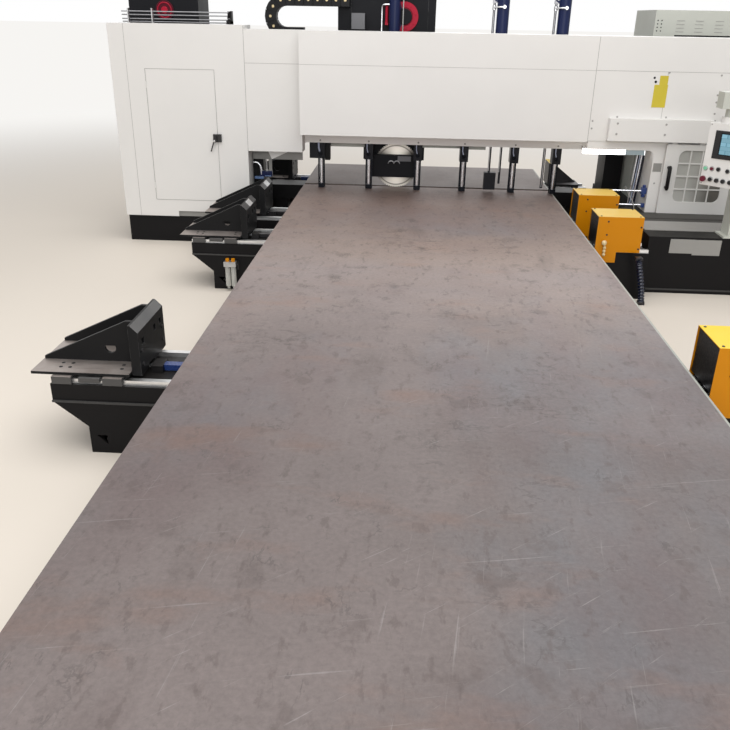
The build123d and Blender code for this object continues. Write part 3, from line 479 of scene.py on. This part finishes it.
coat("bed_right", baseTop, lambda x, y, z, n: n[2] > 0.9)
coat("air_unit", darkSteel, lambda x, y, z, n: y > -1450.5)
coat("air_unit", paleSteel, lambda x, y, z, n: (z > 171) & (z < 206) & (y < -1450.5))
coat("air_unit", yellowPaint, lambda x, y, z, n: (z > 205.5) & (y < -1451))
coat("control_panel", blackPlastic, lambda x, y, z, n: panelDepth(x, y) < -0.5)
coat("control_panel", casing, lambda x, y, z, n: (panelDepth(x, y) > -3.5) & (z < 800) & (x < 1790))

# directions, and the planes that the added pieces stand on
toFront, toBack, toRight, toLeft, up = (0, -1, 0), (0, 1, 0), (1, 0, 0), (-1, 0, 0), (0, 0, 1)
cabinetFront, coverFront, frameFront, trackFront, lipFront, baseFront = -300, -480, -476, -530, -150, -1202
louvreFront, headFront, millFront, gearFront = 60, 150, 210, -26
cabinetBack, headBack, beamBack = 620, 540, 560


# mesh helpers, all in millimetres
def slab(x0, x1, y0, y1, z0, z1):
    corners = [(x, y, z) for x in (x0, x1) for y in (y0, y1) for z in (z0, z1)]
    return corners, [(0, 1, 3, 2), (4, 6, 7, 5), (0, 4, 5, 1), (2, 3, 7, 6), (0, 2, 6, 4), (1, 5, 7, 3)]


def sheet(x0, x1, plane, thick, z0, z1):
    # stands on a plane, on its front side where thick is below zero
    return slab(x0, x1, *sorted((plane, plane + thick)), z0, z1)


def ringFaces(rows, sides):
    faces = [(i * sides + j, i * sides + (j + 1) % sides, (i + 1) * sides + (j + 1) % sides, (i + 1) * sides + j)
             for i in range(rows - 1) for j in range(sides)]
    return faces + [tuple(range(sides))[::-1], tuple((rows - 1) * sides + j for j in range(sides))]


def across(way):
    # two unit vectors at right angles to way
    side = np.cross(way, (0, 0, 1) if abs(way[2]) < 0.9 else (1, 0, 0))
    side /= np.linalg.norm(side)
    return side, np.cross(way, side)


def unitCircle(u, v, sides):
    # row j: cos a_j u + sin a_j v, a_j = 2 pi j / sides
    angle = np.arange(sides) * 2 * math.pi / sides
    return np.cos(angle)[:, None] * u + np.sin(angle)[:, None] * v


def lathe(profile, centre, axis, sides=28):
    # ring i: centre + h_i axis + r_i times the unit circle across the axis
    axis = np.array(axis, float)
    circle = unitCircle(*across(axis), sides)
    points = [np.array(centre, float) + h * axis + r * circle for r, h in profile]
    return np.concatenate(points), ringFaces(len(profile), sides)


def disc(x, y, z, axis, r, high, edge=1.0, sides=20):
    return lathe([(r, 0), (r, high - edge), (r - edge, high)], (x, y, z), axis, sides)


def smoothWay(points, steps=8):
    # from p1 to p2: p(t) = (2 p1 + (p2 - p0) t + (2 p0 - 5 p1 + 4 p2 - p3) t^2 + (3 p1 - p0 - 3 p2 + p3) t^3) / 2
    p = np.array([points[0], *points, points[-1]], float)
    t = (np.arange(steps) / steps)[:, None]
    spans = [(2 * p[i + 1] + (p[i + 2] - p[i]) * t + (2 * p[i] - 5 * p[i + 1] + 4 * p[i + 2] - p[i + 3]) * t ** 2
              + (3 * p[i + 1] - p[i] - 3 * p[i + 2] + p[i + 3]) * t ** 3) / 2 for i in range(len(points) - 1)]
    return np.concatenate([*spans, p[-1:]])


def pipe(path, r, sides=12, ribs=None):
    # rings carried along the path without twist; ribs gives each ring's own radius factor
    path = np.array(path, float)
    ways = np.gradient(path, axis=0)
    ways /= np.linalg.norm(ways, axis=1)[:, None]
    u = across(ways[0])[0]
    rows = []
    for k, (point, way) in enumerate(zip(path, ways)):
        u = u - way * (u @ way)
        u /= np.linalg.norm(u)
        size = r * (ribs[k] if ribs is not None else 1)
        rows.append(point + size * unitCircle(u, np.cross(way, u), sides))
    return np.concatenate(rows), ringFaces(len(path), sides)


def hoop(centre, axis, big, small, around=24, sides=8):
    # torus: centre + (big + small cos b) times the unit circle across the axis + small sin b axis
    axis = np.array(axis, float)
    circle = unitCircle(*across(axis), around)[:, None]
    b = (np.arange(sides) * 2 * math.pi / sides)[None, :, None]
    points = np.array(centre, float) + (big + small * np.cos(b)) * circle + small * np.sin(b) * axis
    faces = [(i * sides + j, ((i + 1) % around) * sides + j, ((i + 1) % around) * sides + (j + 1) % sides,
              i * sides + (j + 1) % sides) for i in range(around) for j in range(sides)]
    return points.reshape(-1, 3), faces


def make(name, parts, look, body="machine", bevel=0.0, smooth=True):
    points, faces, count = [], [], 0
    for shape, quads in parts:
        points.append(np.array(shape, float))
        faces += [tuple(i + count for i in face) for face in quads]
        count += len(shape)
    points = np.concatenate(points) / 1000
    points[:, 1] += cutEdge
    mesh = bpy.data.meshes.new(name)
    mesh.from_pydata(points.tolist(), [], faces)
    mesh.materials.append(look)
    if smooth:
        mesh.shade_smooth()
        mesh.set_sharp_from_angle(angle=math.radians(40))
    piece = bpy.data.objects.new(name, mesh)
    scene.collection.objects.link(piece)
    if bevel:
        rounding = piece.modifiers.new("rounding", "BEVEL")
        rounding.width, rounding.segments, rounding.limit_method = bevel / 1000, 2, "ANGLE"
    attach(piece, body)
    return piece


# seams between the cover sheets, thin raised lines of shade
seam = {"wide": 2.4, "proud": 0.6}


def seamX(x0, x1, y, z, wide=seam["wide"]):
    return slab(x0, x1, y - seam["proud"], y + 1, z - wide / 2, z + wide / 2)


def seamZ(x, y, z0, z1, wide=seam["wide"]):
    return slab(x - wide / 2, x + wide / 2, y - seam["proud"], y + 1, z0, z1)


make("cover_seams", [
    seamZ(-2280, cabinetFront, 211, 1623), seamZ(-1390.5, cabinetFront, 737, 1623, 3),
    seamX(-1388, -970, cabinetFront, 1369), seamX(-959, 1138, coverFront, 1377, 2),
    seamX(1143, 2398, coverFront, 1378), seamZ(1638, coverFront, 1066, 1376),
    seamZ(1140.5, coverFront, 901, 1598, 3)], seamShade)
make("door_gap_line", [seamX(-2144, -1622, cabinetFront, z, 2.5) for z in (1316.5, 340.5)] +
     [seamZ(x, cabinetFront, 341, 1316, 2.5) for x in (-2144.6, -1621.4)], seamShade)
print("seams")

# screws of the covers and the lip, a shade darker than the sheet
heads = [disc(x, coverFront, z, toFront, 6.5, 2.5) for x, z in (
    (2002, 1231), (2003, 1183), (2006, 1106), (2018, 1058), (2005, 1362), (1646, 1373), (1329, 1070), (1672, 1074),
    (1159, 1038), (1159, 986))]
heads += [disc(x, trackFront, z, toFront, 7.5, 3) for x, z in ((1328, 958), (1669, 960), (1328, 1030), (1669, 1030))]
make("cover_screws", heads + [disc(1667, frameFront, 607, toFront, 6, 2.5)], seamShade)
make("lip_screws", [disc(x, lipFront, 808, toFront, 7, 3) for x in rodX] +
     [disc(x, lipFront, 808, toFront, 6, 3) for x in (-1330, 1180, 1480, 1660)], seamShade)

# the lamp's dark end, a sleeve close round it
lampLow, lampHigh = np.array(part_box("light_strip")) * 1000 - (0, cutEdge * 1000, 0)
make("lamp_sleeve", [slab(1426, lampHigh[0] - 2, lampLow[1] - 1, lampHigh[1] + 1,
                          lampLow[2] - 1, lampHigh[2] + 1)], lampDim)
# bare yellow plate on the right cover with a small mark, bare plates on the base
make("yellow_plate", [sheet(1587, 1645, coverFront, -1.2, 1292, 1352),
                      sheet(1556, 1650, coverFront, -1.2, 1140, 1292)], blankYellow)
make("plate_mark", [disc(1549, coverFront, 1337, toFront, 8, 1.2), disc(1561, coverFront, 1311, toFront, 9, 1.2)],
     darkSeamAndShade)
make("bare_plates", [sheet(1617, 1777, baseFront, -1.2, 281, 377),
                     sheet(1770, 1951, baseFront, -2, 271, 376)], barePlate, bevel=0.5)
make("lock_face", [disc(-1643, -330, 806, toFront, 8, 3)], brightSteel, "lock")
make("grey_patch", [sheet(1640, 1700, frameFront, -1, 691, 752)], casingShade)


# sliding door: the window's corners filled round, a thicker sleeve on the handle
def cornerFill(side, right, end, high, steps=8):
    # square corner less a quarter circle: rim point = corner + r (1 - cos a, 1 - sin a)
    x, z, r = window[side], window[end], window["round"]
    angle = np.linspace(0, math.pi / 2, steps + 1)
    rim = [(x, z)] + [(x + right * r * (1 - math.cos(a)), z + high * r * (1 - math.sin(a))) for a in angle]
    points = [(u, y, w) for y in (window["front"], window["glass"]) for u, w in rim]
    count = len(rim)
    faces = [(0, k + 1, k) for k in range(1, count - 1)]
    faces += [(count, count + k, count + k + 1) for k in range(1, count - 1)]
    faces += [(k, (k + 1) % count, (k + 1) % count + count, k + count) for k in range(count)]
    return points, faces if right * high > 0 else [face[::-1] for face in faces]


make("window_corners", [cornerFill(side, right, end, high) for side, right in (("left", 1), ("right", -1))
                        for end, high in (("low", 1), ("high", -1))], doorCasingShaded, "front_door", smooth=False)
make("handle_sleeve", [lathe([(10, 0), (13.5, 5), (13.5, 158), (10, 163)], (1741, -548, 577), up, 20)] +
     [disc(1741, -512, z, toFront, 10, 30) for z in (588, 729)], blackPaint, "front_door")

# electrical cabinet: four groups of four louvres drawn as darker lines, painted shadow; two columns of holes as dark
# discs, painted shade; the gap over the cover as a dark strip, painted shadow
make("louvres", [sheet(x - 30, x + 30, louvreFront, -2, z - 2, z + 2)
                 for x in (1829, 1967, 2113, 2255) for z in (1706, 1681, 1656, 1631)], seamShade)
make("cabinet_holes", [disc(x, louvreFront, z, toFront, 5, 0.8, 0.2)
                       for x in (1662, 1690) for z in (1705, 1682, 1658, 1634)], darkSeamAndShade)
make("cabinet_gap", [sheet(x0, x1, louvreFront, -1.5, 1596, 1608)
                     for x0, x1 in ((1796, 2206), (2216, 2392))], darkSeamAndShade)
print("covers dressed")

# four steel pipes over the left cabinet, on two brackets, ending in a small manifold
supply = {"left": -2388, "right": -1560, "y": 12, "apart": 5, "z": (1706, 1682, 1654, 1634), "r": 4.5}
ways = []
for k, z in enumerate(supply["z"]):
    y = supply["y"] + supply["apart"] * k
    way = [(supply["left"], y, z), (-2100, y, z), (-1700, y, z - 0.5), (supply["right"], y, z)]
    ways.append(pipe(smoothWay(way, 5), supply["r"], 10))
make("supply_pipes", ways, pipeSteel)
make("pipe_brackets", [slab(x - half, x + half, 0, deep, 1622, top) for x in (-2150, -2336)
                       for half, deep, top in ((4, 36, 1728), (12, 40, 1628))], paleSteel, bevel=1)
make("pipe_manifold", [slab(-1576, -1532, -6, 44, 1625, 1650), slab(-1544, -1532, -6, 44, 1625, 1718),
                       slab(-1570, -1550, 0, 30, 1664, 1674), slab(-1566, -1546, 4, 34, 1688, 1700)] +
     [disc(supply["right"] + 24, 20, z, toLeft, 9, 34, 2) for z in supply["z"]], blackPaint, bevel=0.8)

# cable chain: a pale rivet on every link
chain = {"x": -1130, "z": 1688, "mean": 117, "pitch": 70, "front": 55, "turn": 5, "top": 7, "low": 2}
rivetAt = [(chain["x"] + (k + 0.5) * chain["pitch"], chain["z"] + side * chain["mean"])
           for side, links in ((1, chain["top"]), (-1, chain["low"])) for k in range(links)]
for k in range(chain["turn"]):
    a = math.pi / 2 + (k + 0.5) * math.pi / chain["turn"]
    rivetAt.append((chain["x"] + chain["mean"] * math.cos(a), chain["z"] + chain["mean"] * math.sin(a)))
rivets = [disc(x, chain["front"], z, toFront, 10, 4, 2) for x, z in rivetAt]
make("chain_rivets", rivets, creamPlastic, "saw_feed")

# on the saw head: bent steel pipe, thin white line, red pipe, bolts round the red ring
bent = smoothWay([(-398, 128, 1600), (-398, 128, 1735), (-394, 122, 1772), (-375, 112, 1782), (-310, 100, 1782)], 6)
make("head_pipe", [pipe(bent, 7), disc(-398, 128, 1590, up, 12, 18), disc(-316, 100, 1782, toRight, 12, 16)],
     chromeRod, "saw_feed")
make("head_line", [pipe([(-236, 70, 1500), (-235, 70, 1700), (-234, 70, 1985)], 4)] +
     [slab(-246, -224, 60, 152, z - 4, z + 4) for z in (1980, 1500)], blankWhite, "saw_feed")
make("head_side_pipe", [disc(-362, 132, 1640, up, 11, 140, 3), slab(-374, -350, 120, 150, 1640, 1656)],
     redPaint, "saw_feed")
ringX, ringZ, boltsOut = -226, 1700, 86
make("ring_bolts", [disc(ringX + boltsOut * math.cos(a), 136, ringZ + boltsOut * math.sin(a), toFront, 6, 4)
                    for a in np.arange(8) * math.pi / 4 + 0.2], redPaint, "saw_feed")
make("ring_hub", [disc(ringX, 140, ringZ, toFront, 58, 8, 3, 32)], sawPaint, "saw_feed")
make("head_panels", [seamX(-728, 3, headFront, z, 3) for z in (1560, 1860)] +
     [seamZ(x, headFront, 1452, 1980, 3) for x in (-46, -636)], darkSeamAndShade, "saw_feed")

# tall cylinders: cross fitting, black pipe from there up into the top cap
for number, x in enumerate((497, 942), 1):
    pipeX = x - 66
    bow = [(pipeX, -106, 1772), (x - 58, -112, 1773), (x - 42, -124, 1774), (x - 22, -137, 1775),
           (x + 14, -141, 1776)]
    make(f"lift_fitting_{number}", [pipe(smoothWay(bow, 4), 7), disc(pipeX, -90, 1756, up, 13, 32, 2),
                                    disc(x + 4, -132, 1776, toFront, 13, 16, 2)], brightSteel)
    rise = [(pipeX, -90, 1820), (pipeX + 4, -92, 1880), (pipeX + 10, -92, 1950), (x - 30, -90, 2012)]
    make(f"lift_pipe_top_{number}", [pipe(smoothWay(rise, 6), 7)], blackPlastic)
print("head dressed")

# under the lip: pale tube and ring fitting for each rod, thin guide wires
for number, x in enumerate(rodX, 1):
    thick = 7 if number == 1 else 4
    tube = pipe([(x - 14, -145, 792), (x - 13, -145, 750), (x - 6, -145, 722)], thick)
    make(f"air_tube_{number}", [tube], tubeBlue)
    fitting = [hoop((x - 2, -146, 708), toBack, 12, 4.5), disc(x - 2, -138, 708, toFront, 7, 12, 2)]
    make(f"air_ring_{number}", fitting + [slab(x - 8, x + 8, -145, -138, 684, 698)], blackSteel)
make("guide_wires", [pipe([(x, -103, 786), (x, -103, low)], 5, 10)
                     for x, low in ((479, 598), (562, 592), (905, 482))], paleSteel)
# on the gearbox: steel plate, two hoops and bolts
make("gearbox_plate", [sheet(-240, -134, gearFront, -2, 642, 682)], motorGrey, "saw_feed", bevel=0.5)
hoops = []
for x in (-292, -246):
    arc = [(x + 23 * math.cos(a), gearFront - 8, 622 + 23 * math.sin(a))
           for a in np.linspace(0.15, math.pi - 0.15, 11)]
    hoops.append(pipe([(arc[0][0], gearFront, arc[0][2]), *arc, (arc[-1][0], gearFront, arc[-1][2])], 4, 8))
make("gearbox_hoops", hoops, pipeSteel, "saw_feed")
make("gearbox_bolts", [disc(x, gearFront, z, toFront, 9, 3) for x in (-446, -104) for z in (546, 668)] +
     [disc(-451, gearFront, z, toFront, 8, 2.5) for z in (730, 790, 850)], blackSteel, "saw_feed")

# pale apron sheets behind the rods and a side plate on the first housing
make("apron", [slab(x0, x1, -41.5, -39.5, low, 792)
               for x0, x1, low in ((-790, -500, 748), (-48, 250, 756), (312, 452, 750))], cabinetGrey, bevel=0.5)
make("housing_side", [slab(-814, -774, -120, -60, 652, 789)], blackPaint, bevel=2)
# left of the rods: bent steel pipe, small tube, blue valve block under the stay
bent = smoothWay([(x, -165, z) for x, z in ((-1384, 628), (-1356, 628), (-1332, 612), (-1322, 580), (-1318, 535))], 6)
make("left_bent_pipe", [pipe(bent, 8)], chromeRod)
make("left_tube", [pipe([(-1275, -158, 655), (-1275, -158, 572)], 5)], paleSteel)
make("valve_block", [slab(-1330, -1232, -172, -138, 518, 562), slab(-1296, -1244, -176, -172, 530, 550)],
     navyPaint, bevel=3)
make("valve_foot", [slab(-1372, -1300, -182, -150, 500, 519), slab(-1290, -1240, -180, -172, 521, 529)],
     paleBlue, bevel=3)
make("valve_caps", [disc(-1318, -155, 528, up, 12, 40), disc(-1275, -158, 560, up, 11, 14)], paleSteel)

# right passage: pipes, blue fitting, two level rods behind the yellow boxes
pipeSorts = ((-34, 5, chromeRod), (-16, 4, tubeBlue), (0, 6, chromeRod), (12, 9, conduitBlue))
for number, (shift, r, look) in enumerate(pipeSorts, 1):
    x, y = 1612 + shift, -250
    way = smoothWay([(x + 2, y, 838), (x, y, 760), (x - 10, y - 4, 600), (x - 24, y - 8, 392)], 5)
    make(f"passage_pipe_{number}", [pipe(way, r)], look)
make("blue_fitting", [slab(1590, 1630, -456, -424, 520, 566), slab(1604, 1630, -452, -428, 420, 450),
                      disc(1610, -440, 496, up, 14, 26, 3), disc(1610, -440, 566, up, 12, 20, 3)], bluePaint, bevel=2)
make("level_rods", [disc(1350, -441, z, toRight, 8, long) for z, long in ((541, 246), (437, 262))], chromeRod)
tube = smoothWay([(1470, -441, 575), (1500, -445, 520), (1540, -450, 460), (1560, -450, 400)], 5)
make("white_tube", [pipe(tube, 3, 8)], blankWhite)
make("rod_sleeves", [slab(1340, 1368, -450, -432, z, z + 21) for z in (528, 427)], darkSteel, bevel=1)

# yellow boxes: screws, and the grease cups at the second one's corner
for number in (1, 2, 3):
    boxFront = stationY[number - 1] - 115
    dots = [disc(x, boxFront, z, toFront, 6, 3) for x, z in ((1150, 434), (1362, 488), (1150, 520), (1362, 345))]
    dots += [disc(x, boxFront + y, 550, up, 6, 3) for y in (20, 230) for x in (1105, 1354)]
    make(f"box_screws_{number}", dots, darkSteel, f"right_clamp_{number}")
cupX, cupY = 1140, -1381
bead = [(2, -11), (8, -8), (11, 0), (8, 8), (2, 11)]
bowl = [(2, -14), (12, -13), (16, -4), (16, 6), (10, 14), (2, 16)]
cups = [lathe(bead, (cupX + 4, cupY, z), up, 16) for z in (306, 328, 350)]
cups += [lathe(bowl, (cupX - 3, cupY - 4, 384), up, 18), slab(cupX - 2, cupX + 8, cupY, -1369, 296, 380)]
make("grease_cups", cups, creamPlastic, "right_clamp_2")

# right base: sheet trays on the deck, the ledge and groove dark as painted shade under the sliding door, a foot rail,
# ribbed conduit clipped to the station
deck = {"left": 1488, "right": 2376, "top": 390}


def deckSheet(front, back, thick):
    return [slab(deck["left"], deck["right"], front, back, deck["top"], deck["top"] + thick)]


# painted shade: the ledge and groove in a dark sheet colour
make("deck_ledge", deckSheet(-680, -514, 6), deckShade, bevel=1)
make("deck_groove", deckSheet(-775, -680, 1.5), deckShade)
make("deck_tray", deckSheet(-1036, -775, 6), trayGrey, bevel=1)
# painted highlight: the foot rail lighter along the base's lower edge
make("base_rail", [sheet(1500, 2380, baseFront, -4, 20, 32)], deckGreyAndHighlight, bevel=1)
route = smoothWay([(1346, -1466, 312), (1354, -1467, 280), (1376, -1467, 193), (1397, -1466, 99),
                   (1408, -1462, 20)], 26)
ribs = 1 + 0.2 * np.cos(np.arange(len(route)) * math.pi / 3)
make("ribbed_conduit", [pipe(route, 18, 16, ribs)], conduitBlue)
make("conduit_clips", [slab(1388, 1428, -1482, -1438, 2, 22), slab(1328, 1372, -1484, -1440, 300, 316)],
     darkSteel, bevel=1)

# clamping stations: slide holes as dark discs of painted shade, jaw inserts and bolts, rail guards that partly paint
# shade on the rail, a lighter line along the frame as painted highlight
slide = {"top": 360, "holes": ((-1541, -78), (-1500, -78), (-1536, -118), (-1498, -118), (-1286, -78), (-1281, -118),
                               (-1541, 100), (-1500, 100), (-1286, 100))}
insert = {"top": 555, "low": 525, "proud": 2.2}
for number, yc in enumerate(stationY, 1):
    body = f"left_clamp_{number}"
    make(f"slide_holes_{number}", [disc(x, yc + y, slide["top"], up, 8, 0.8, 0.2) for x, y in slide["holes"]],
         darkSeamAndShade, body)
    if number > 1:
        under = [(-1195, yc - 10, insert["low"]), (-1195, yc + 88, insert["low"]),
                 (-1225, yc + 88, insert["top"]), (-1225, yc - 10, insert["top"])]
        lifted = [(x + insert["proud"], y, z + insert["proud"]) for x, y, z in under]
        faces = [(3, 2, 1, 0), (4, 5, 6, 7), (0, 4, 7, 3), (1, 2, 6, 5), (0, 1, 5, 4), (3, 7, 6, 2)]
        make(f"jaw_insert_{number}", [(under + lifted, faces)], railSteel, body)
    make(f"jaw_bolts_{number}", [disc(-1195, yc + y, z, toRight, 9, 4) for y in (-100, 170) for z in (380, 440)],
         darkSteel, body)
    # dark guard over the rail, partly painted shade: it darkens the rail where it lies under the slide plate
    make(f"rail_guard_and_shade_{number}", [slab(-1440, -1352, yc - 188, yc - 173, 324, 346)], blockGrey, body, bevel=1)
    # painted highlight: a lighter line along the frame's flange
    make(f"flange_line_{number}", [slab(-1424, -1020, yc - 194, yc - 184, 233, 241)], deckGreyAndHighlight)
print("stations dressed")


# control panel: lit picture, rings under the caps, seam round the front sheet
def onPanel(shape):
    # u along the panel, its own depth and w up are turned about its corner
    points, c, s = np.array(shape[0], float), math.cos(panelTurn), math.sin(panelTurn)
    spun = np.stack([points[:, 0] * c - points[:, 1] * s, points[:, 0] * s + points[:, 1] * c, points[:, 2]], axis=1)
    return spun + panelCorner, shape[1]


screen = [(92, -5.6, 202), (388, -5.6, 202), (388, -5.6, 325), (92, -5.6, 325)]
picture = make("lit_picture", [onPanel((screen, [(0, 1, 2, 3)]))], litPicture, "panel")
layer = picture.data.uv_layers.new(name="picture")
layer.data.foreach_set("uv", np.array([(0, 0), (1, 0), (1, 1), (0, 1)], dtype=np.float32).ravel())
make("button_collars", [onPanel(hoop((u, -1, w), toBack, r, 2.2)) for u, w, r in (
    (23, 106, 14), (65, 108, 14), (108, 109, 14), (168, 105, 14), (68, 42, 15), (110, 40, 15), (152, 40, 15),
    (197, 40, 15))], paleSteel, "panel")
make("panel_screws", [onPanel(disc(u, 0, w, toFront, 5, 2)) for u in (12, 468) for w in (12, 376)],
     seamShade, "panel")
make("panel_lid", [onPanel(slab(3, 477, -1.2, 0, 3, 385))], casing, "panel", bevel=0.4)

# back: the cabinet's seams, hinges, handles and fans, vents on the heads, bolts, feet
seamBack = (cabinetBack - 0.4, cabinetBack + 0.6)
make("back_seams", [slab(1650, 2390, *seamBack, z, z + 3) for z in (700, 1740)] +
     [slab(2018, 2022, *seamBack, 700, 1740)], seamShade)
make("back_hinges", [disc(x, cabinetBack + 2, z, up, 7, 60) for x in (1662, 2378) for z in (760, 1190, 1620)],
     paleSteel)
make("back_handles", [sheet(x - 8, x + 8, cabinetBack, 16, 1180, 1300) for x in (1980, 2060)], blackPlastic, bevel=3)
make("head_vents", [sheet(x - 90, x + 90, headBack, 3, z, z + 6) for x in (-520, -220)
                    for z in range(1560, 1900, 34)], motorGrey, "saw_feed")
make("head_back_frame", [sheet(-722, -4, headBack, 2, z, z + 3) for z in (1450, 1935)] +
     [sheet(x, x + 3, headBack, 2, 1450, 1938) for x in (-722, -370, -7)], motorGrey, "saw_feed")
make("mill_vents", [sheet(-2300, -1930, headBack, 3, z, z + 6) for z in range(1560, 1860, 34)], motorGrey, "milling")
fans = []
for x in (1830, 2210):
    fans += [hoop((x, cabinetBack + 3, 1600), toBack, big, thick, around, 6)
             for big, thick, around in ((62, 4, 28), (38, 3, 24))]
    fans += [sheet(x - wide, x + wide, cabinetBack, 4, 1600 - high, 1600 + high) for wide, high in ((62, 2), (2, 62))]
make("cabinet_fans", fans, motorGrey)
leftX, rightX = (-2330, -1900, -1480), (1540, 1960, 2340)
make("base_bolts", [disc(x, 620, z, toBack, 12, 8) for x in leftX for z in (50, 160)] +
     [disc(x, 620, z, toBack, 12, 8) for x in rightX for z in (60, 330)], darkSteel)
make("foot_plates", [slab(x - 45, x + 45, 622, 700, 0, 16) for x in leftX + rightX], blackPaint, bevel=2)
make("beam_bolts", [disc(x, beamBack, z, toBack, 11, 7) for x in range(-2200, 1600, 190) for z in (1030, 1370)],
     darkSteel)
# the milling head's red ring and front seams
make("mill_ring", [hoop((-2106, 196, 1718), toBack, 54, 4, 32, 8), disc(-2106, 197, 1718, toFront, 26, 6, 3, 28)],
     redPaint, "milling")
make("mill_panels", [seamX(-2382, -1850, millFront, z, 3) for z in (1560, 1880)], darkSeamAndShade, "milling")
print("back dressed")


# floor, light and background
def seenRays(tree):
    # 1 for what the camera sees directly, in a mirror or through glass
    straight, glass, mirror = (add(tree, "LightPath", out=f"Is {kind} Ray")
                               for kind in ("Camera", "Transmission", "Glossy"))
    return calc(tree, "MAXIMUM", mirror, calc(tree, "MAXIMUM", straight, glass))


floorMesh = bpy.data.meshes.new("floor")
floorMesh.from_pydata([(-90, -60, 0), (90, -60, 0), (90, 150, 0), (-90, 150, 0)], [], [(0, 1, 2, 3)])
floor = bpy.data.objects.new("floor", floorMesh)
scene.collection.objects.link(floor)
floorLook, tree, shader = newMaterial("floor", (0.66, 0.6, 0.53), 0.65, Specular_IOR_Level=0.25)
floorMesh.materials.append(floorLook)
# far off the floor is evenly pale to the camera and in mirrors, so the horizon is faint
fade = {"middle": (0, cutEdge - 2.0, 0), "from": 3.6, "to": 12.0}
away = vectorCalc(tree, "DISTANCE", spotOn(tree), fade["middle"], out="Value")
far = add(tree, "MapRange", {"Value": away, "From Min": fade["from"], "From Max": fade["to"]},
          interpolation_type="SMOOTHSTEP")
glow = add(tree, "Emission", {"Color": (0.93, 0.915, 0.89, 1), "Strength": 1.0})
blend = add(tree, "MixShader", {0: times(tree, far, seenRays(tree)), 1: shader.outputs["BSDF"], 2: glow})
tree.links.new(blend, tree.nodes["Material Output"].inputs["Surface"])


def softBox(name, place, target, width, depth, power, color=(1, 1, 1)):
    data = bpy.data.lights.new(name, "AREA")
    data.shape, data.size, data.size_y, data.energy, data.color = "RECTANGLE", width, depth, power, color
    box = bpy.data.objects.new(name, data)
    box.location = place
    box.rotation_euler = (target - place).to_track_quat("-Z", "Y").to_euler()
    scene.collection.objects.link(box)


softBox("ceiling", at(-200, -3300, 6500), at(-100, -1500, 400), 9, 8, 540, (1, 0.99, 0.97))
softBox("front", at(200, -9300, 3000), at(200, 0, 850), 6, 3, 230)
softBox("behind", at(2500, 4500, 5000), at(0, 0, 800), 6, 4, 150)

world = bpy.data.worlds.new("studio")
scene.world = world
world.use_nodes = True
tree = world.node_tree
background = tree.nodes["Background"]
feed(tree, background, {"Color": (0.95, 0.97, 1.0, 1), "Strength": 0.36})
white = add(tree, "Background", {"Color": (1, 1, 1, 1), "Strength": 1.0})
blend = add(tree, "MixShader", {0: seenRays(tree), 1: background.outputs["Background"], 2: white})
tree.links.new(blend, tree.nodes["World Output"].inputs["Surface"])
